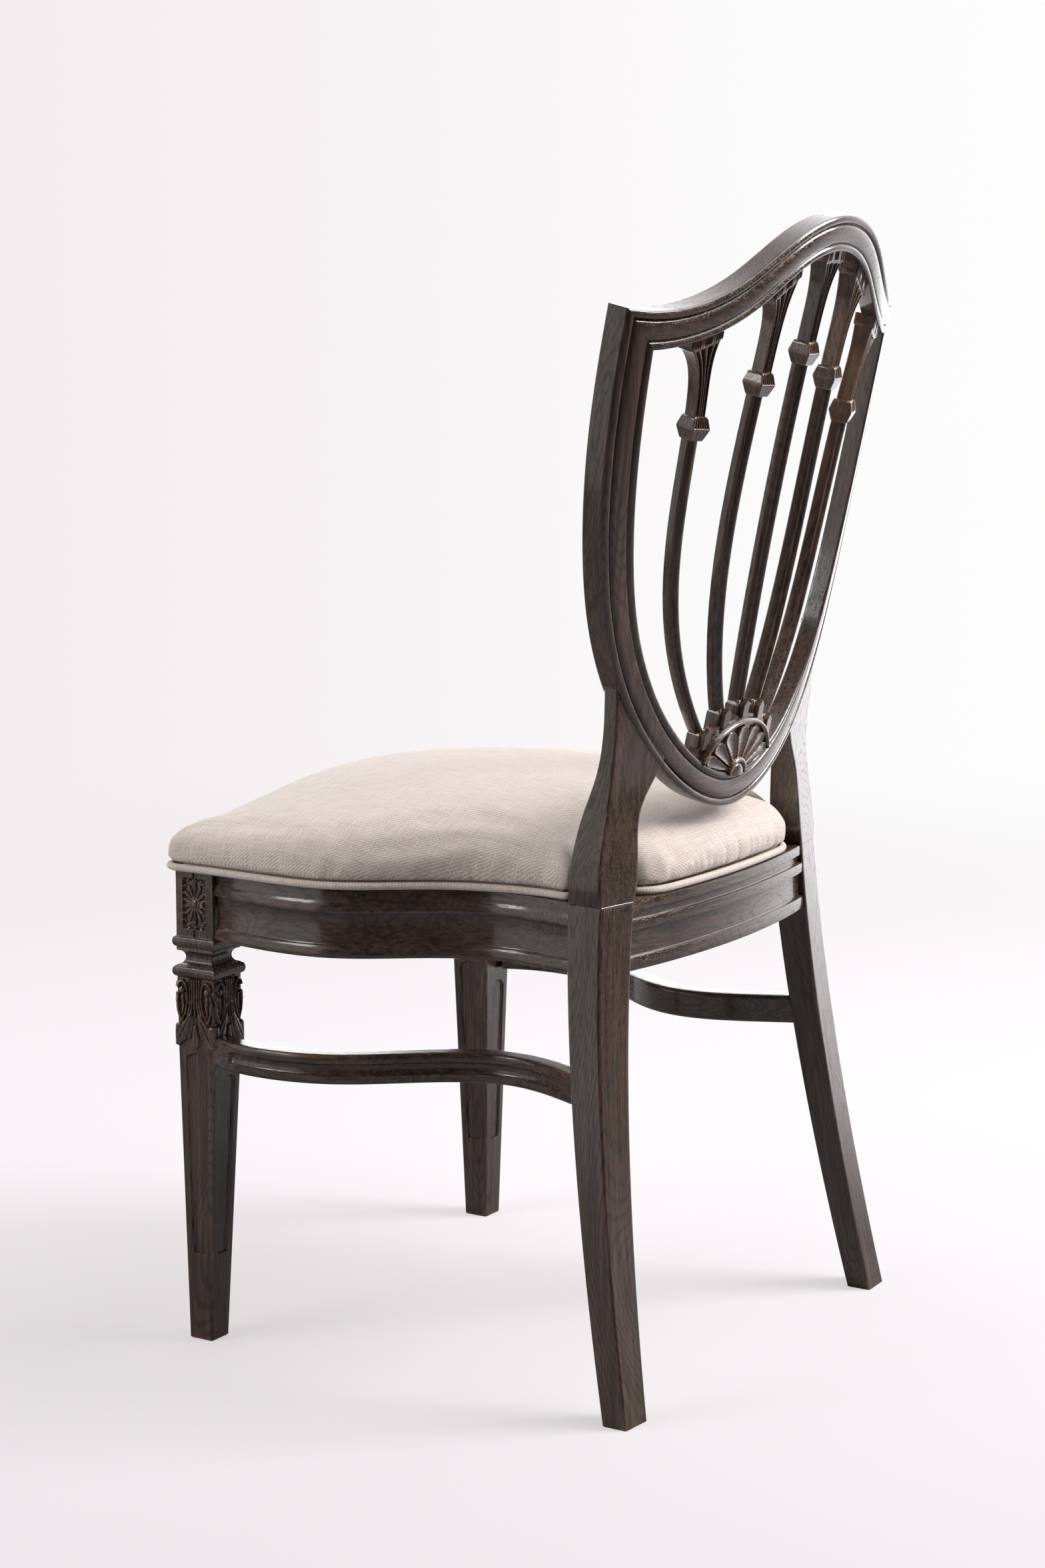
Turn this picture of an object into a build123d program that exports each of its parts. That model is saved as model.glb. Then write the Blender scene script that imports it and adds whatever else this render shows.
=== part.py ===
"""Shield-back dining chair in carved oak with an upholstered seat.

Millimetres. +Z is up, the floor is Z = 0, X = 0 is the plane of symmetry, and the sitter
faces -Y, so +X is the sitter's left.
"""

import math
import os

from build123d import *

os.makedirs("parts", exist_ok=True)

# Fits
joint_fit = 0.15            # room on each side of a tenon or a dowel
tenon_end_gap = 1.0         # glue room at the bottom of a mortise
curve_fit = 0.1             # room where a piece is scribed to a curved edge

# Seat frame
rail_top = 431.0
rail_height = 60.0
rail_thickness = 28.0
band_plain = 10.0           # plain strip at the top of each rail
band_bead = 10.0            # raised moulding below it
band_foot = 12.0            # raised moulding at the lower edge
band_sink = 2.5             # top strip, set back from the mouldings
field_sink = 4.0            # field between the mouldings, set back
rail_tenon_thick = 8.0
rail_tenon_margin = 10.0    # tenon shoulder above and below
rail_tenon_length = 16.0
rail_rear_tenon_shift = 2.0 # the rear tenon sits deeper, behind the scribed shoulder

# Front legs
block_size = 41.0
block_outer_x = 243.0
block_front_y = -246.0
foot_size = 24.7
foot_centre = (227.4, -227.5)
collar_bead_low = 10.5
collar_hollow = 17.0
collar_bead_high = 10.0
collar_low_size = 47.5
collar_hollow_size = 31.0
collar_high_size = 46.0
collar_round = 0.42         # rounding of a moulding's edges, as a share of its height
capital_height = 63.5
capital_top_size = 44.0
capital_foot_size = 46.0
shaft_top_size = 40.0
panel_sink = 2.0
panel_margin = 6.0
panel_foot_height = 80.0
panel_head_gap = 12.0       # from the top of the panel to the capital
rosette_panel = (25.5, 46.0)
rosette_sink = 2.5
rosette_reach = (11.4, 20.5)
rosette_petals = 8
rosette_petal_width = 7.0
rosette_heart = 4.0

# Rear legs
rear_outer_x = 192.0        # outer rear edge of the leg at the rail top
rear_back_y = 162.0
rear_top_size = (41.5, 33.0)
rear_foot_size = (32.0, 23.5)
rear_sweep_back = 55.0      # how far the foot stands behind the top
rear_sweep_power = 1.6
rear_splay_out = 48.0
rear_splay_power = 0.95
rear_turn_top = 12.0        # the leg faces the bow of the rear rail
rear_turn_foot = 3.5
rear_leg_sections = 7

# Serpentine plan of the side rails and stretchers: outer face, front to rear
side_rail_plan = [(241, -205), (254.5, -140), (248, -72), (202, 0.5), (181, 58), (191, 129)]
stretcher_plan = [(241, -207), (254.5, -150), (239, -80), (187, -10), (162, 42), (187.5, 131)]
stretcher_bottom = 256.0
stretcher_height = 26.5
stretcher_thickness = 20.0
stretcher_edge = 4.0
flute_height = 11.0
flute_depth = 2.5
flute_front_y = -185.0
flute_rear_y = 118.0
stretcher_tenon_thick = 7.0
stretcher_tenon_height = 16.0
stretcher_tenon_length = 10.0
stretcher_rear_tenon_shift = (4.0, 12.0)   # out and back, to the middle of the swept leg
rear_overrun = 22.0         # rails and stretchers run on into the rear leg before they are scribed
overrun_slope = 0.6         # how much of its last slope the plan keeps there

# Bowed front and rear rails
rear_rail_radius = 790.0
rear_rail_back_y = 185.0
front_rail_face_y = -241.0  # at the legs
front_rail_rise = 8.0       # how far its middle stands forward
cross_rail_thickness = 24.0

# Corner blocks and screws
corner_height = 40.0
corner_shank = 18.0         # screw length inside a corner block
corner_front = [(110, -225), (165, -225), (235, -165), (235, -110)]
corner_rear = [(165, 50), (165, 95), (110, 165), (60, 165)]
corner_screw_front = ((132, -215), (226, -133))   # into the front rail, into the side rail
corner_screw_rear = ((92, 157), (154, 70))
screw_bore = 4.5
screw_head = 9.0
screw_head_depth = 3.0
screw_bite = 13.0
screw_fit = 0.15
seat_screw_front = (182, -164)
seat_screw_rear = (124, 108)
seat_screw_bite = 8.0

# Shield back, drawn on a plane that leans back with the rake
rake = 12.0
shield_foot_y = 179.0
shield_foot_z = 492.0
bow_radius = 505.0          # plan curve of the back
shield_corner = (236, 434)
shield_crest = [(66, 502.5), (121, 466), (170, 442)]
shield_peak = (0, 519.5)
shield_side = [(233, 335), (220, 236), (187, 134), (139.4, 67.2), (84, 24)]
shield_base = (0, -1)
frame_width = 31.0
frame_depth = 21.0
mitre_reach = 1.25          # how far in the mitre line runs, in frame widths
outer_bead = 7.0
inner_bead = 6.0
bead_groove = 1.3
groove_depth = 3.0
band_depth = 1.0            # broad band, below the outer bead
inner_bead_depth = 1.5
bow_joint = (107, 58)       # middle of the joint between bow and stile
bow_joint_slope = 38.0      # direction of the bow there, in degrees
crest_dowel = (221, 416)
dowel_size = 6.0
dowel_length = 30.0
post_dowel = (180, 157)
post_dowel_size = 9.0
post_dowel_length = 44.0

# Posts from the seat up into the shield: height above the rail top, outer X, inner X, front Y, back Y
post_sections = [
    (0, 192, 150.5, 129, 162),
    (44, 188.5, 143.5, 131, 160.5),
    (74, 180, 138.5, 135, 160.5),
    (100, 176, 122, 143, 161.5),
    (135, 175.5, 105, 151, 165.5),
    (184, 180, 110, 156, 171),
]

# Splats: centre line as (X, height up the shield) at foot, two waypoints and head
splat_lines = {
    "outer": [(55, 67), (105, 145), (130, 255), (150, 420)],
    "inner": [(30, 84), (58.5, 190), (64, 320), (66, 470)],
    "centre": [(0, 88), (0, 200), (0, 330), (0, 486)],
}
knop_heights = {"outer": 337.0, "inner": 374.0, "centre": 399.0}
splat_bar = (12.0, 13.0)
splat_ridge = 4.0
splat_set_back = 8.0        # rear ridge below the rear face of the frame, at the ends
splat_bow = 5.0             # further forward at mid height
splat_sections = 7
knop_size = 20.5
knop_sides = 4
knop_overlap = 2.0          # how far bar and capital run into the knop
knop_neck = 14.5
knop_height = 20.5
knop_flat = 3.0
capital_neck = (13.0, 12.0)
capital_head = (28.0, 17.0)
cap_size = (34.0, 19.0)
cap_thickness = 9.0
tab_size = (16.0, 16.0)
tab_height = 22.0
splat_tenon = 7.0
splat_tenon_length = 11.0

# Fan at the foot of the shield
plinth_reach = (75.0, 56.0)
plinth_centre = (0, 30)
plinth_depths = (4.0, 17.0)
fan_centre = (0, 32)
fan_reach = (63.0, 47.0)
fan_rim = 5.0
fan_petals = 9
fan_petal_width = 8.5
fan_petal_gap = 2.0         # from the petals to the rim, and how far they run under the boss
fan_boss = 14.0
fan_relief = 4.0

# Seat
board_thickness = 12.0
board_inset = 12.0
piping_size = 6.6
piping_gap = 0.3
piping_edge = 1.65
crown_height = 508.0
crown_radius = 920.0
crown_centre_y = -60.0
cushion_edge = 14.0
cushion_front_y = -252.0
cushion_front_rise = 5.0
cushion_corner = (253.5, -238)
cushion_side = [(257, -140), (250.5, -72), (205, 0.5), (183.5, 58)]
cushion_notch = (184, 124, 134, 174)   # outer X, front Y, inner X and rear Y of the cut round a post
cushion_rear_y = 183.0
cushion_bevel = 10.5         # corner cut between the front and the side

rail_bottom = rail_top - rail_height
collar_bottom = rail_bottom - collar_bead_high - collar_hollow - collar_bead_low
shaft_top = collar_bottom - capital_height
block_centre = (block_outer_x - block_size / 2, block_front_y + block_size / 2)
rake_sin = math.sin(math.radians(rake))
rake_cos = math.cos(math.radians(rake))
shield_origin = Vector(0, shield_foot_y, shield_foot_z)
shield_up = Vector(0, rake_sin, rake_cos)
shield_rear = Vector(0, rake_cos, -rake_sin)
face_plane = Plane(origin=shield_origin, x_dir=(1, 0, 0), z_dir=-shield_rear)
shield_reach = 130.0        # enough to pass through the whole curved back
piping_top = rail_top + piping_gap + piping_size
pieces = {}


def keep(name, part):
    """Notes a finished piece under its node name."""
    part.label = name
    pieces[name] = part


def other_side(part):
    """The same piece for the sitter's right."""
    with BuildPart() as copy:
        mirror(part, about=Plane.YZ)
    return copy.part


def pair(name, part):
    """Notes a left piece and its mirrored right piece."""
    keep(f"{name}_left", part)
    keep(f"{name}_right", other_side(part))


def cut(part, *tools):
    """A piece with other solids taken out of it."""
    with BuildPart() as left_over:
        add(part)
        for tool in tools:
            add(tool, mode=Mode.SUBTRACT)
    return left_over.part


def joined(part, *others):
    """A piece with solids added to it."""
    with BuildPart() as whole:
        add(part)
        for other in others:
            add(other)
    return whole.part


def peg(centre, size):
    """A tenon block."""
    with BuildPart() as block:
        with Locations(centre):
            Box(*size)
    return block.part


def rod(start, direction, diameter, length):
    """A round bar from a point along a direction."""
    with BuildPart() as bar:
        with BuildSketch(Plane(origin=start, z_dir=direction)):
            Circle(diameter / 2)
        extrude(amount=length)
    return bar.part


def bore(start, direction, diameter, length, ease):
    """The hole for such a bar, with room all round and at both ends."""
    step = Vector(*direction).normalized() * ease
    return rod(Vector(*start) - step, direction, diameter + 2 * ease, length + 2 * ease)


# Front legs: block, collar, leafy capital and a panelled taper, in one piece


def square_moulding(size, bottom, height):
    """A square ring of the collar with rounded edges."""
    with BuildPart() as ring:
        with BuildSketch(Plane.XY.offset(bottom)):
            with Locations(block_centre):
                Rectangle(size, size)
        extrude(amount=height)
        fillet(ring.edges().filter_by(Axis.Z, reverse=True), height * collar_round)
    return ring.part


def taper(low_size, low_centre, low, high_size, high_centre, high):
    """A square length that tapers from one height to another."""
    with BuildPart() as length:
        for size, centre, height in ((low_size, low_centre, low), (high_size, high_centre, high)):
            with BuildSketch(Plane.XY.offset(height)):
                with Locations(centre):
                    Rectangle(size, size)
        loft()
    return length.part


def along_shaft(height, low, high):
    """A value that runs evenly from the foot to the top of the shaft."""
    return low + (high - low) * height / shaft_top


def panel_prism(plane, axis_index):
    """The sunk panel of a shaft face, run right through the leg."""
    foot, head = panel_foot_height, shaft_top - panel_head_gap
    outline = []
    for height in (foot, head):
        middle = along_shaft(height, foot_centre[axis_index], block_centre[axis_index])
        half = along_shaft(height, foot_size, shaft_top_size) / 2 - panel_margin
        outline += [(middle - half, height), (middle + half, height)]
    low_left, low_right, high_left, high_right = outline
    crown = ((high_left[0] + high_right[0]) / 2, head + (high_right[0] - high_left[0]) / 3)
    with BuildPart() as prism:
        with BuildSketch(plane):
            with BuildLine():
                Polyline(high_left, low_left, low_right, high_right)
                ThreePointArc(high_right, crown, high_left)
            make_face()
        extrude(amount=2 * block_outer_x, both=True)
    return prism.part


def rosette_cut(plane):
    """Ground of the carved panel on a block, with the flower left standing."""
    reach_x, reach_y = rosette_reach
    with BuildPart() as ground:
        with BuildSketch(plane):
            Rectangle(*rosette_panel)
            for number in range(rosette_petals):
                turn = 360 / rosette_petals * number
                across, along = math.cos(math.radians(turn)), math.sin(math.radians(turn))
                length = 1 / math.hypot(across / reach_x, along / reach_y)
                place = Location((across * length / 2, along * length / 2, 0), (0, 0, turn))
                with Locations(place):
                    Ellipse(length / 2, rosette_petal_width / 2, mode=Mode.SUBTRACT)
            Circle(rosette_heart, mode=Mode.SUBTRACT)
        extrude(amount=-rosette_sink)
    return ground.part


block_middle = rail_bottom + rail_height / 2
outer_face = Plane(origin=(block_outer_x, block_centre[1], block_middle), x_dir=(0, 1, 0), z_dir=(1, 0, 0))
front_face = Plane(origin=(block_centre[0], block_front_y, block_middle), x_dir=(1, 0, 0), z_dir=(0, -1, 0))
shaft = taper(foot_size, foot_centre, 0, shaft_top_size, block_centre, shaft_top)
shaft_core = taper(
    foot_size - 2 * panel_sink, foot_centre, 0, shaft_top_size - 2 * panel_sink, block_centre, shaft_top
)
panels = cut(joined(panel_prism(Plane.XZ, 0), panel_prism(Plane.YZ, 1)), shaft_core)
leg_capital = taper(
    capital_foot_size, block_centre, shaft_top, capital_top_size, block_centre, collar_bottom
)
hollow_bottom = collar_bottom + collar_bead_low
collar = [
    square_moulding(collar_low_size, collar_bottom, collar_bead_low),
    taper(collar_hollow_size, block_centre, hollow_bottom, collar_hollow_size, block_centre,
          hollow_bottom + collar_hollow),
    square_moulding(collar_high_size, hollow_bottom + collar_hollow, collar_bead_high),
]
block = taper(block_size, block_centre, rail_bottom, block_size, block_centre, rail_top)
front_leg = cut(joined(cut(shaft, panels), leg_capital, *collar, block),
                rosette_cut(outer_face), rosette_cut(front_face))

# Rear legs: sabre legs that sweep back and out from the seat


def rear_quad(height):
    """Corners of the leg at a height: outer back, inner back, inner front, outer front."""
    down = 1 - height / rail_top
    outer = rear_outer_x + rear_splay_out * down**rear_splay_power
    back = rear_back_y + rear_sweep_back * down**rear_sweep_power
    width = rear_top_size[0] + (rear_foot_size[0] - rear_top_size[0]) * down
    depth = rear_top_size[1] + (rear_foot_size[1] - rear_top_size[1]) * down
    turn = math.tan(math.radians(rear_turn_top + (rear_turn_foot - rear_turn_top) * down))
    inner_back = back + width * turn
    return [
        (outer, back),
        (outer - width, inner_back),
        (outer - width, inner_back - depth),
        (outer, back - depth),
    ]


with BuildPart() as rear_blank:
    for number in range(rear_leg_sections):
        height = rail_top * number / (rear_leg_sections - 1)
        with BuildSketch(Plane.XY.offset(height)):
            with BuildLine():
                Polyline(*rear_quad(height), close=True)
            make_face()
    loft()

# Seat rails: stacked mouldings on a sawn plan


def rail_layers():
    """Each layer of a rail as (bottom, height, how far its face is set back)."""
    field = rail_height - band_plain - band_bead - band_foot
    heights = [(band_foot, 0.0), (field, field_sink), (band_bead, 0.0), (band_plain, band_sink)]
    bottom = rail_bottom
    layers = []
    for height, sink in heights:
        layers.append((bottom, height, sink))
        bottom += height
    return layers


def serpentine(points, outer_shift, thickness, bottom, height):
    """A length with an S-shaped plan; its outer face is moved inwards by outer_shift."""
    outer = [(x - outer_shift, y) for x, y in points]
    inner = [(x - thickness, y) for x, y in points]
    with BuildPart() as length:
        with BuildSketch(Plane.XY.offset(bottom)):
            with BuildLine():
                Spline(*outer)
                Line(outer[-1], inner[-1])
                Spline(*reversed(inner))
                Line(inner[0], outer[0])
            make_face()
        extrude(amount=height)
    return length.part


def run_on(points, length):
    """A plan carried straight on at its rear end, to be scribed to the leg."""
    (x0, y0), (x1, y1) = points[-2:]
    step = length / (y1 - y0)
    return points[:-1] + [(x1, y1), (x1 + (x1 - x0) * step * overrun_slope, y1 + length)]


side_rail = joined(*[
    serpentine(run_on(side_rail_plan, rear_overrun), sink, rail_thickness, bottom, height)
    for bottom, height, sink in rail_layers()
])
side_rail = cut(side_rail, rear_blank.part)
side_rail_solid = max(side_rail.solids(), key=lambda solid: solid.volume)
with BuildPart() as side_rail_body:
    add(side_rail_solid)
rail_middle = rail_bottom + rail_height / 2
rail_tenon_height = rail_height - 2 * rail_tenon_margin
front_tenon = (
    (side_rail_plan[0][0] - rail_thickness / 2, side_rail_plan[0][1], rail_middle),
    (rail_tenon_thick, 2 * rail_tenon_length, rail_tenon_height),
)
rear_tenon = (
    (side_rail_plan[-1][0] - rail_thickness / 2, side_rail_plan[-1][1] + rail_rear_tenon_shift,
     rail_middle),
    (rail_tenon_thick, 2 * rail_tenon_length, rail_tenon_height),
)


def mortise(tenon):
    """The hole for a tenon, with room at its sides and its end."""
    centre, size = tenon
    x, y, z = (side + 2 * joint_fit for side in size)
    longer = (x, y + 2 * tenon_end_gap, z) if size[1] > size[0] else (x + 2 * tenon_end_gap, y, z)
    with BuildPart() as hole:
        with Locations(centre):
            Box(*longer)
    return hole.part


def cross_rail(radius, face_y, forward):
    """A bowed rail across the chair; forward is 1 where it bows to the front and -1 to the rear."""
    layers = []
    for bottom, height, sink in rail_layers():
        with BuildPart() as layer:
            with BuildSketch(Plane.XY.offset(bottom)):
                with Locations((0, face_y + forward * radius)):
                    Circle(radius - sink)
                    Circle(radius - cross_rail_thickness, mode=Mode.SUBTRACT)
                with Locations((0, face_y)):
                    Rectangle(2 * block_outer_x, radius, mode=Mode.INTERSECT)
            extrude(amount=height)
        layers.append(layer.part)
    return joined(*layers)


front_rail_half = block_outer_x - block_size
front_rail_radius = (front_rail_half**2 + front_rail_rise**2) / (2 * front_rail_rise)
front_rail_long = cross_rail(front_rail_radius, front_rail_face_y - front_rail_rise, 1)
rear_rail_long = cross_rail(rear_rail_radius, rear_rail_back_y, -1)
with BuildPart() as front_span:
    add(front_rail_long)
    with Locations((0, front_rail_face_y, rail_middle)):
        Box(2 * front_rail_half, 4 * cross_rail_thickness, 2 * rail_height, mode=Mode.INTERSECT)
with BuildPart() as rear_span:
    add(rear_rail_long)
    with Locations((0, rear_rail_back_y, rail_middle)):
        Box(2 * rear_outer_x, 6 * cross_rail_thickness, 2 * rail_height, mode=Mode.INTERSECT)
    add(rear_blank.part, mode=Mode.SUBTRACT)
    add(other_side(rear_blank.part), mode=Mode.SUBTRACT)
rear_rail_body = max(rear_span.part.solids(), key=lambda solid: solid.volume)

front_rail_tenon = (
    (front_rail_half, front_rail_face_y + cross_rail_thickness / 2, rail_middle),
    (2 * rail_tenon_length, rail_tenon_thick, rail_tenon_height),
)
rear_inner_x = rear_outer_x - rear_top_size[0]
rear_tenon_y = rear_rail_back_y - rear_inner_x**2 / (2 * rear_rail_radius) - cross_rail_thickness / 2
rear_rail_tenon = (
    (rear_inner_x, rear_tenon_y, rail_middle),
    (2 * rail_tenon_length, rail_tenon_thick, rail_tenon_height),
)

# Side stretchers: S-shaped, with a stopped flute on the outer face

stretcher_long = run_on(stretcher_plan, rear_overrun)
stretcher_blank = serpentine(stretcher_long, 0, stretcher_thickness, stretcher_bottom, stretcher_height)
flute_core = serpentine(
    stretcher_long, flute_depth, stretcher_thickness, stretcher_bottom, stretcher_height
)
flute_middle_y = (flute_front_y + flute_rear_y) / 2
with BuildPart() as flute_zone:
    with BuildSketch(Plane.YZ):
        with Locations((flute_middle_y, stretcher_bottom + stretcher_height / 2)):
            SlotOverall(flute_rear_y - flute_front_y, flute_height)
    extrude(amount=2 * block_outer_x)
with BuildPart() as flute:
    add(stretcher_blank)
    add(flute_core, mode=Mode.SUBTRACT)
    add(flute_zone.part, mode=Mode.INTERSECT)
with BuildPart() as stretcher_body:
    add(stretcher_blank)
    long_edges = stretcher_body.edges().filter_by(GeomType.BSPLINE)
    chamfer(long_edges, stretcher_edge / 2)
    add(flute.part, mode=Mode.SUBTRACT)
    add(rear_blank.part, mode=Mode.SUBTRACT)
    add(leg_capital, mode=Mode.SUBTRACT)
    add(shaft, mode=Mode.SUBTRACT)
stretcher_solid = max(stretcher_body.part.solids(), key=lambda solid: solid.volume)
stretcher_middle = stretcher_bottom + stretcher_height / 2
stretcher_size = (stretcher_tenon_thick, 2 * stretcher_tenon_length, stretcher_tenon_height)
front_end_x, front_end_y = stretcher_plan[0]
rear_end_x, rear_end_y = stretcher_plan[-1]
shift_out, shift_back = stretcher_rear_tenon_shift
stretcher_tenons = [
    ((front_end_x - stretcher_thickness / 2, front_end_y, stretcher_middle), stretcher_size),
    ((rear_end_x - stretcher_thickness / 2 + shift_out, rear_end_y + shift_back, stretcher_middle),
     stretcher_size),
]

# Corner blocks, glued and screwed across the corners of the seat frame


def corner_blank(points):
    """A block across a corner, scribed to the rails."""
    with BuildPart() as blank:
        with BuildSketch(Plane.XY.offset(rail_top - corner_height)):
            with BuildLine():
                Polyline(*points, close=True)
            make_face()
        extrude(amount=corner_height)
        add(side_rail_body.part, mode=Mode.SUBTRACT)
        add(front_span.part, mode=Mode.SUBTRACT)
        add(rear_rail_body, mode=Mode.SUBTRACT)
    return max(blank.part.solids(), key=lambda solid: solid.volume)


def screw(point, height, direction, shank):
    """A wood screw: its point lies screw_bite past the joint, its head shank before it."""
    way = Vector(*direction)
    tip = Vector(point[0], point[1], height) + way * screw_bite
    head = tip - way * (shank + screw_bite)
    return tip, head, way


def screw_solid(placed):
    """Shank and head of a screw."""
    tip, head, way = placed
    length = (tip - head).length
    shank = rod(head, way, screw_bore, length)
    return joined(shank, rod(head, way, screw_head, screw_head_depth))


def screw_hole(placed):
    """The bore of a screw, with its head let in from outside the block."""
    tip, head, way = placed
    length = (tip - head).length
    shank = bore(head, way, screw_bore, length, screw_fit)
    mouth_start = head - way * corner_height
    mouth = rod(mouth_start, way, screw_head + 2 * screw_fit,
                corner_height + screw_head_depth + screw_fit)
    return joined(shank, mouth)


corner_screw_z = rail_top - corner_height / 2
seat_shank = corner_height - screw_head_depth
screws = {
    "front": [
        screw(corner_screw_front[0], corner_screw_z, (0, -1, 0), corner_shank),
        screw(corner_screw_front[1], corner_screw_z, (1, 0, 0), corner_shank),
    ],
    "rear": [
        screw(corner_screw_rear[0], corner_screw_z, (0, 1, 0), corner_shank),
        screw(corner_screw_rear[1], corner_screw_z, (1, 0, 0), corner_shank),
    ],
}
seat_lift = seat_screw_bite - screw_bite
seat_screws = {
    "front": screw(seat_screw_front, rail_top + seat_lift, (0, 0, 1), seat_shank + seat_lift),
    "rear": screw(seat_screw_rear, rail_top + seat_lift, (0, 0, 1), seat_shank + seat_lift),
}
corner_holes = [screw_hole(placed) for group in screws.values() for placed in group]
seat_holes = [screw_hole(placed) for placed in seat_screws.values()]
for name, points in (("front", corner_front), ("rear", corner_rear)):
    pair(f"corner_block_{name}", cut(corner_blank(points), *corner_holes, *seat_holes))

side_rail = cut(
    joined(side_rail_body.part, peg(*front_tenon), peg(*rear_tenon)), *corner_holes
)
pair("side_rail", side_rail)
both_holes = corner_holes + [other_side(hole) for hole in corner_holes]
front_rail_pegs = [peg(*front_rail_tenon)]
front_rail_pegs.append(other_side(front_rail_pegs[0]))
keep("front_rail", cut(joined(front_span.part, *front_rail_pegs), *both_holes))
rear_rail_pegs = [peg(*rear_rail_tenon)]
rear_rail_pegs.append(other_side(rear_rail_pegs[0]))
keep("rear_rail", cut(joined(rear_rail_body, *rear_rail_pegs), *both_holes))
stretcher = joined(stretcher_solid, *[peg(*tenon) for tenon in stretcher_tenons])
pair("side_stretcher", stretcher)

dowel_start = (post_dowel[0], post_dowel[1], rail_top - post_dowel_length / 2)
post_hole = bore(dowel_start, (0, 0, 1), post_dowel_size, post_dowel_length, joint_fit)
pair("front_leg", cut(
    front_leg, mortise(front_tenon), mortise(front_rail_tenon), mortise(stretcher_tenons[0])
))
pair("rear_leg", cut(
    rear_blank.part, mortise(rear_tenon), mortise(rear_rail_tenon), mortise(stretcher_tenons[1]), post_hole
))

# Shield frame: crest rail, two stiles that run down into posts, and the bow below


def level(height):
    """A plane across the back at a height up the shield."""
    return Plane(origin=shield_origin + shield_up * height, x_dir=(1, 0, 0), z_dir=shield_up)


def sagitta(x):
    """How far the curved back comes forward at a distance from its middle."""
    return bow_radius - math.sqrt(bow_radius**2 - x**2)


def on_back(x, height, depth):
    """A point below the rear face of the back."""
    return shield_origin + Vector(x, 0, 0) + shield_up * height - shield_rear * (sagitta(x) + depth)


def mirrored(points):
    """Outline points of the other half, in reverse order."""
    return [(-x, height) for x, height in reversed(points)]


def normals(points):
    """Unit normals on the right of the smooth line through some points."""
    steps = [Vector(*end) - Vector(*start) for start, end in zip(points, points[1:])]
    slopes = [step / step.length for step in steps]
    middle = []
    for number in range(1, len(steps)):
        before, after = steps[number - 1].length, steps[number].length
        middle.append((slopes[number - 1] * after + slopes[number] * before).normalized())
    first = (slopes[0] * 2 - middle[0]).normalized()
    last = (slopes[-1] * 2 - middle[-1]).normalized()
    return [(along.Y, -along.X) for along in (first, *middle, last)]


def drawn_in(points, distance):
    """The points of a smooth line, moved to its right."""
    return [(x + nx * distance, y + ny * distance) for (x, y), (nx, ny) in zip(points, normals(points))]


def corner_in(corner, before, after, distance):
    """A sharp corner between two smooth lines, moved to the right of both."""
    (ax, ay), (bx, by) = before, after
    share = distance / (1 + ax * bx + ay * by)
    return corner[0] + (ax + bx) * share, corner[1] + (ay + by) * share


def outline(inset):
    """Face inside the outer edge of the shield, drawn in by inset."""
    left_corner = (-shield_corner[0], shield_corner[1])
    crest = [left_corner, *mirrored(shield_crest), shield_peak, *shield_crest, shield_corner]
    side = [shield_corner, *shield_side, shield_base, *mirrored(shield_side), left_corner]
    right = corner_in(shield_corner, normals(crest)[-1], normals(side)[0], inset)
    left = (-right[0], right[1])
    with BuildSketch() as sketch:
        with BuildLine():
            Spline(left, *drawn_in(crest, inset)[1:-1], right)
            Spline(right, *drawn_in(side, inset)[1:-1], left)
        make_face()
    return sketch.sketch


def layer(near, far):
    """Curved layer of the back between two depths below its rear face."""
    with BuildPart() as shell:
        with BuildSketch(level(-shield_reach)):
            with Locations((0, -bow_radius)):
                Circle(bow_radius - near)
                Circle(bow_radius - far, mode=Mode.SUBTRACT)
        extrude(amount=shield_peak[1] + 2 * shield_reach)
    return shell.part


def prism(face):
    """A drawn face run right through the back."""
    with BuildPart() as through:
        with BuildSketch(face_plane.offset(-shield_reach / 4)):
            add(face)
        extrude(amount=shield_reach)
    return through.part


def relief(face, near, far):
    """A drawn face carved between two depths."""
    with BuildPart() as carved:
        add(prism(face))
        add(layer(near, far), mode=Mode.INTERSECT)
    return carved.part


def band(start, end):
    """Strip of the frame between two distances from its outer edge."""
    with BuildSketch() as strip:
        add(outline(start))
        add(outline(end), mode=Mode.SUBTRACT)
    return strip.sketch


inner_start = frame_width - inner_bead
ring = joined(
    relief(band(0, frame_width), groove_depth, frame_depth),
    relief(band(0, outer_bead), 0, groove_depth),
    relief(band(outer_bead + bead_groove, inner_start - bead_groove), band_depth, groove_depth),
    relief(band(inner_start, frame_width), inner_bead_depth, groove_depth),
)

mitre_step = frame_width * mitre_reach
mitre_in = (shield_corner[0] - mitre_step, shield_corner[1] - mitre_step)
mitre_out = (shield_corner[0] + frame_width, shield_corner[1] + frame_width)
with BuildSketch() as crest_zone:
    with BuildLine():
        Polyline(mitre_in, mitre_out, (mitre_out[0], 2 * shield_peak[1]),
                 (-mitre_out[0], 2 * shield_peak[1]), (-mitre_out[0], mitre_out[1]),
                 (-mitre_in[0], mitre_in[1]), close=True)
    make_face()
slope_cos = math.cos(math.radians(bow_joint_slope))
slope_sin = math.sin(math.radians(bow_joint_slope))
joint_out = (bow_joint[0] + frame_width * slope_sin, bow_joint[1] - frame_width * slope_cos)
joint_in = (bow_joint[0] - frame_width * slope_sin, bow_joint[1] + frame_width * slope_cos)
with BuildSketch() as bow_zone:
    with BuildLine():
        Polyline(joint_in, joint_out, (joint_out[0], -shield_reach), (-joint_out[0], -shield_reach),
                 (-joint_out[0], joint_out[1]), (-joint_in[0], joint_in[1]), close=True)
    make_face()
crest_prism, bow_prism = prism(crest_zone.sketch), prism(bow_zone.sketch)

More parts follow.
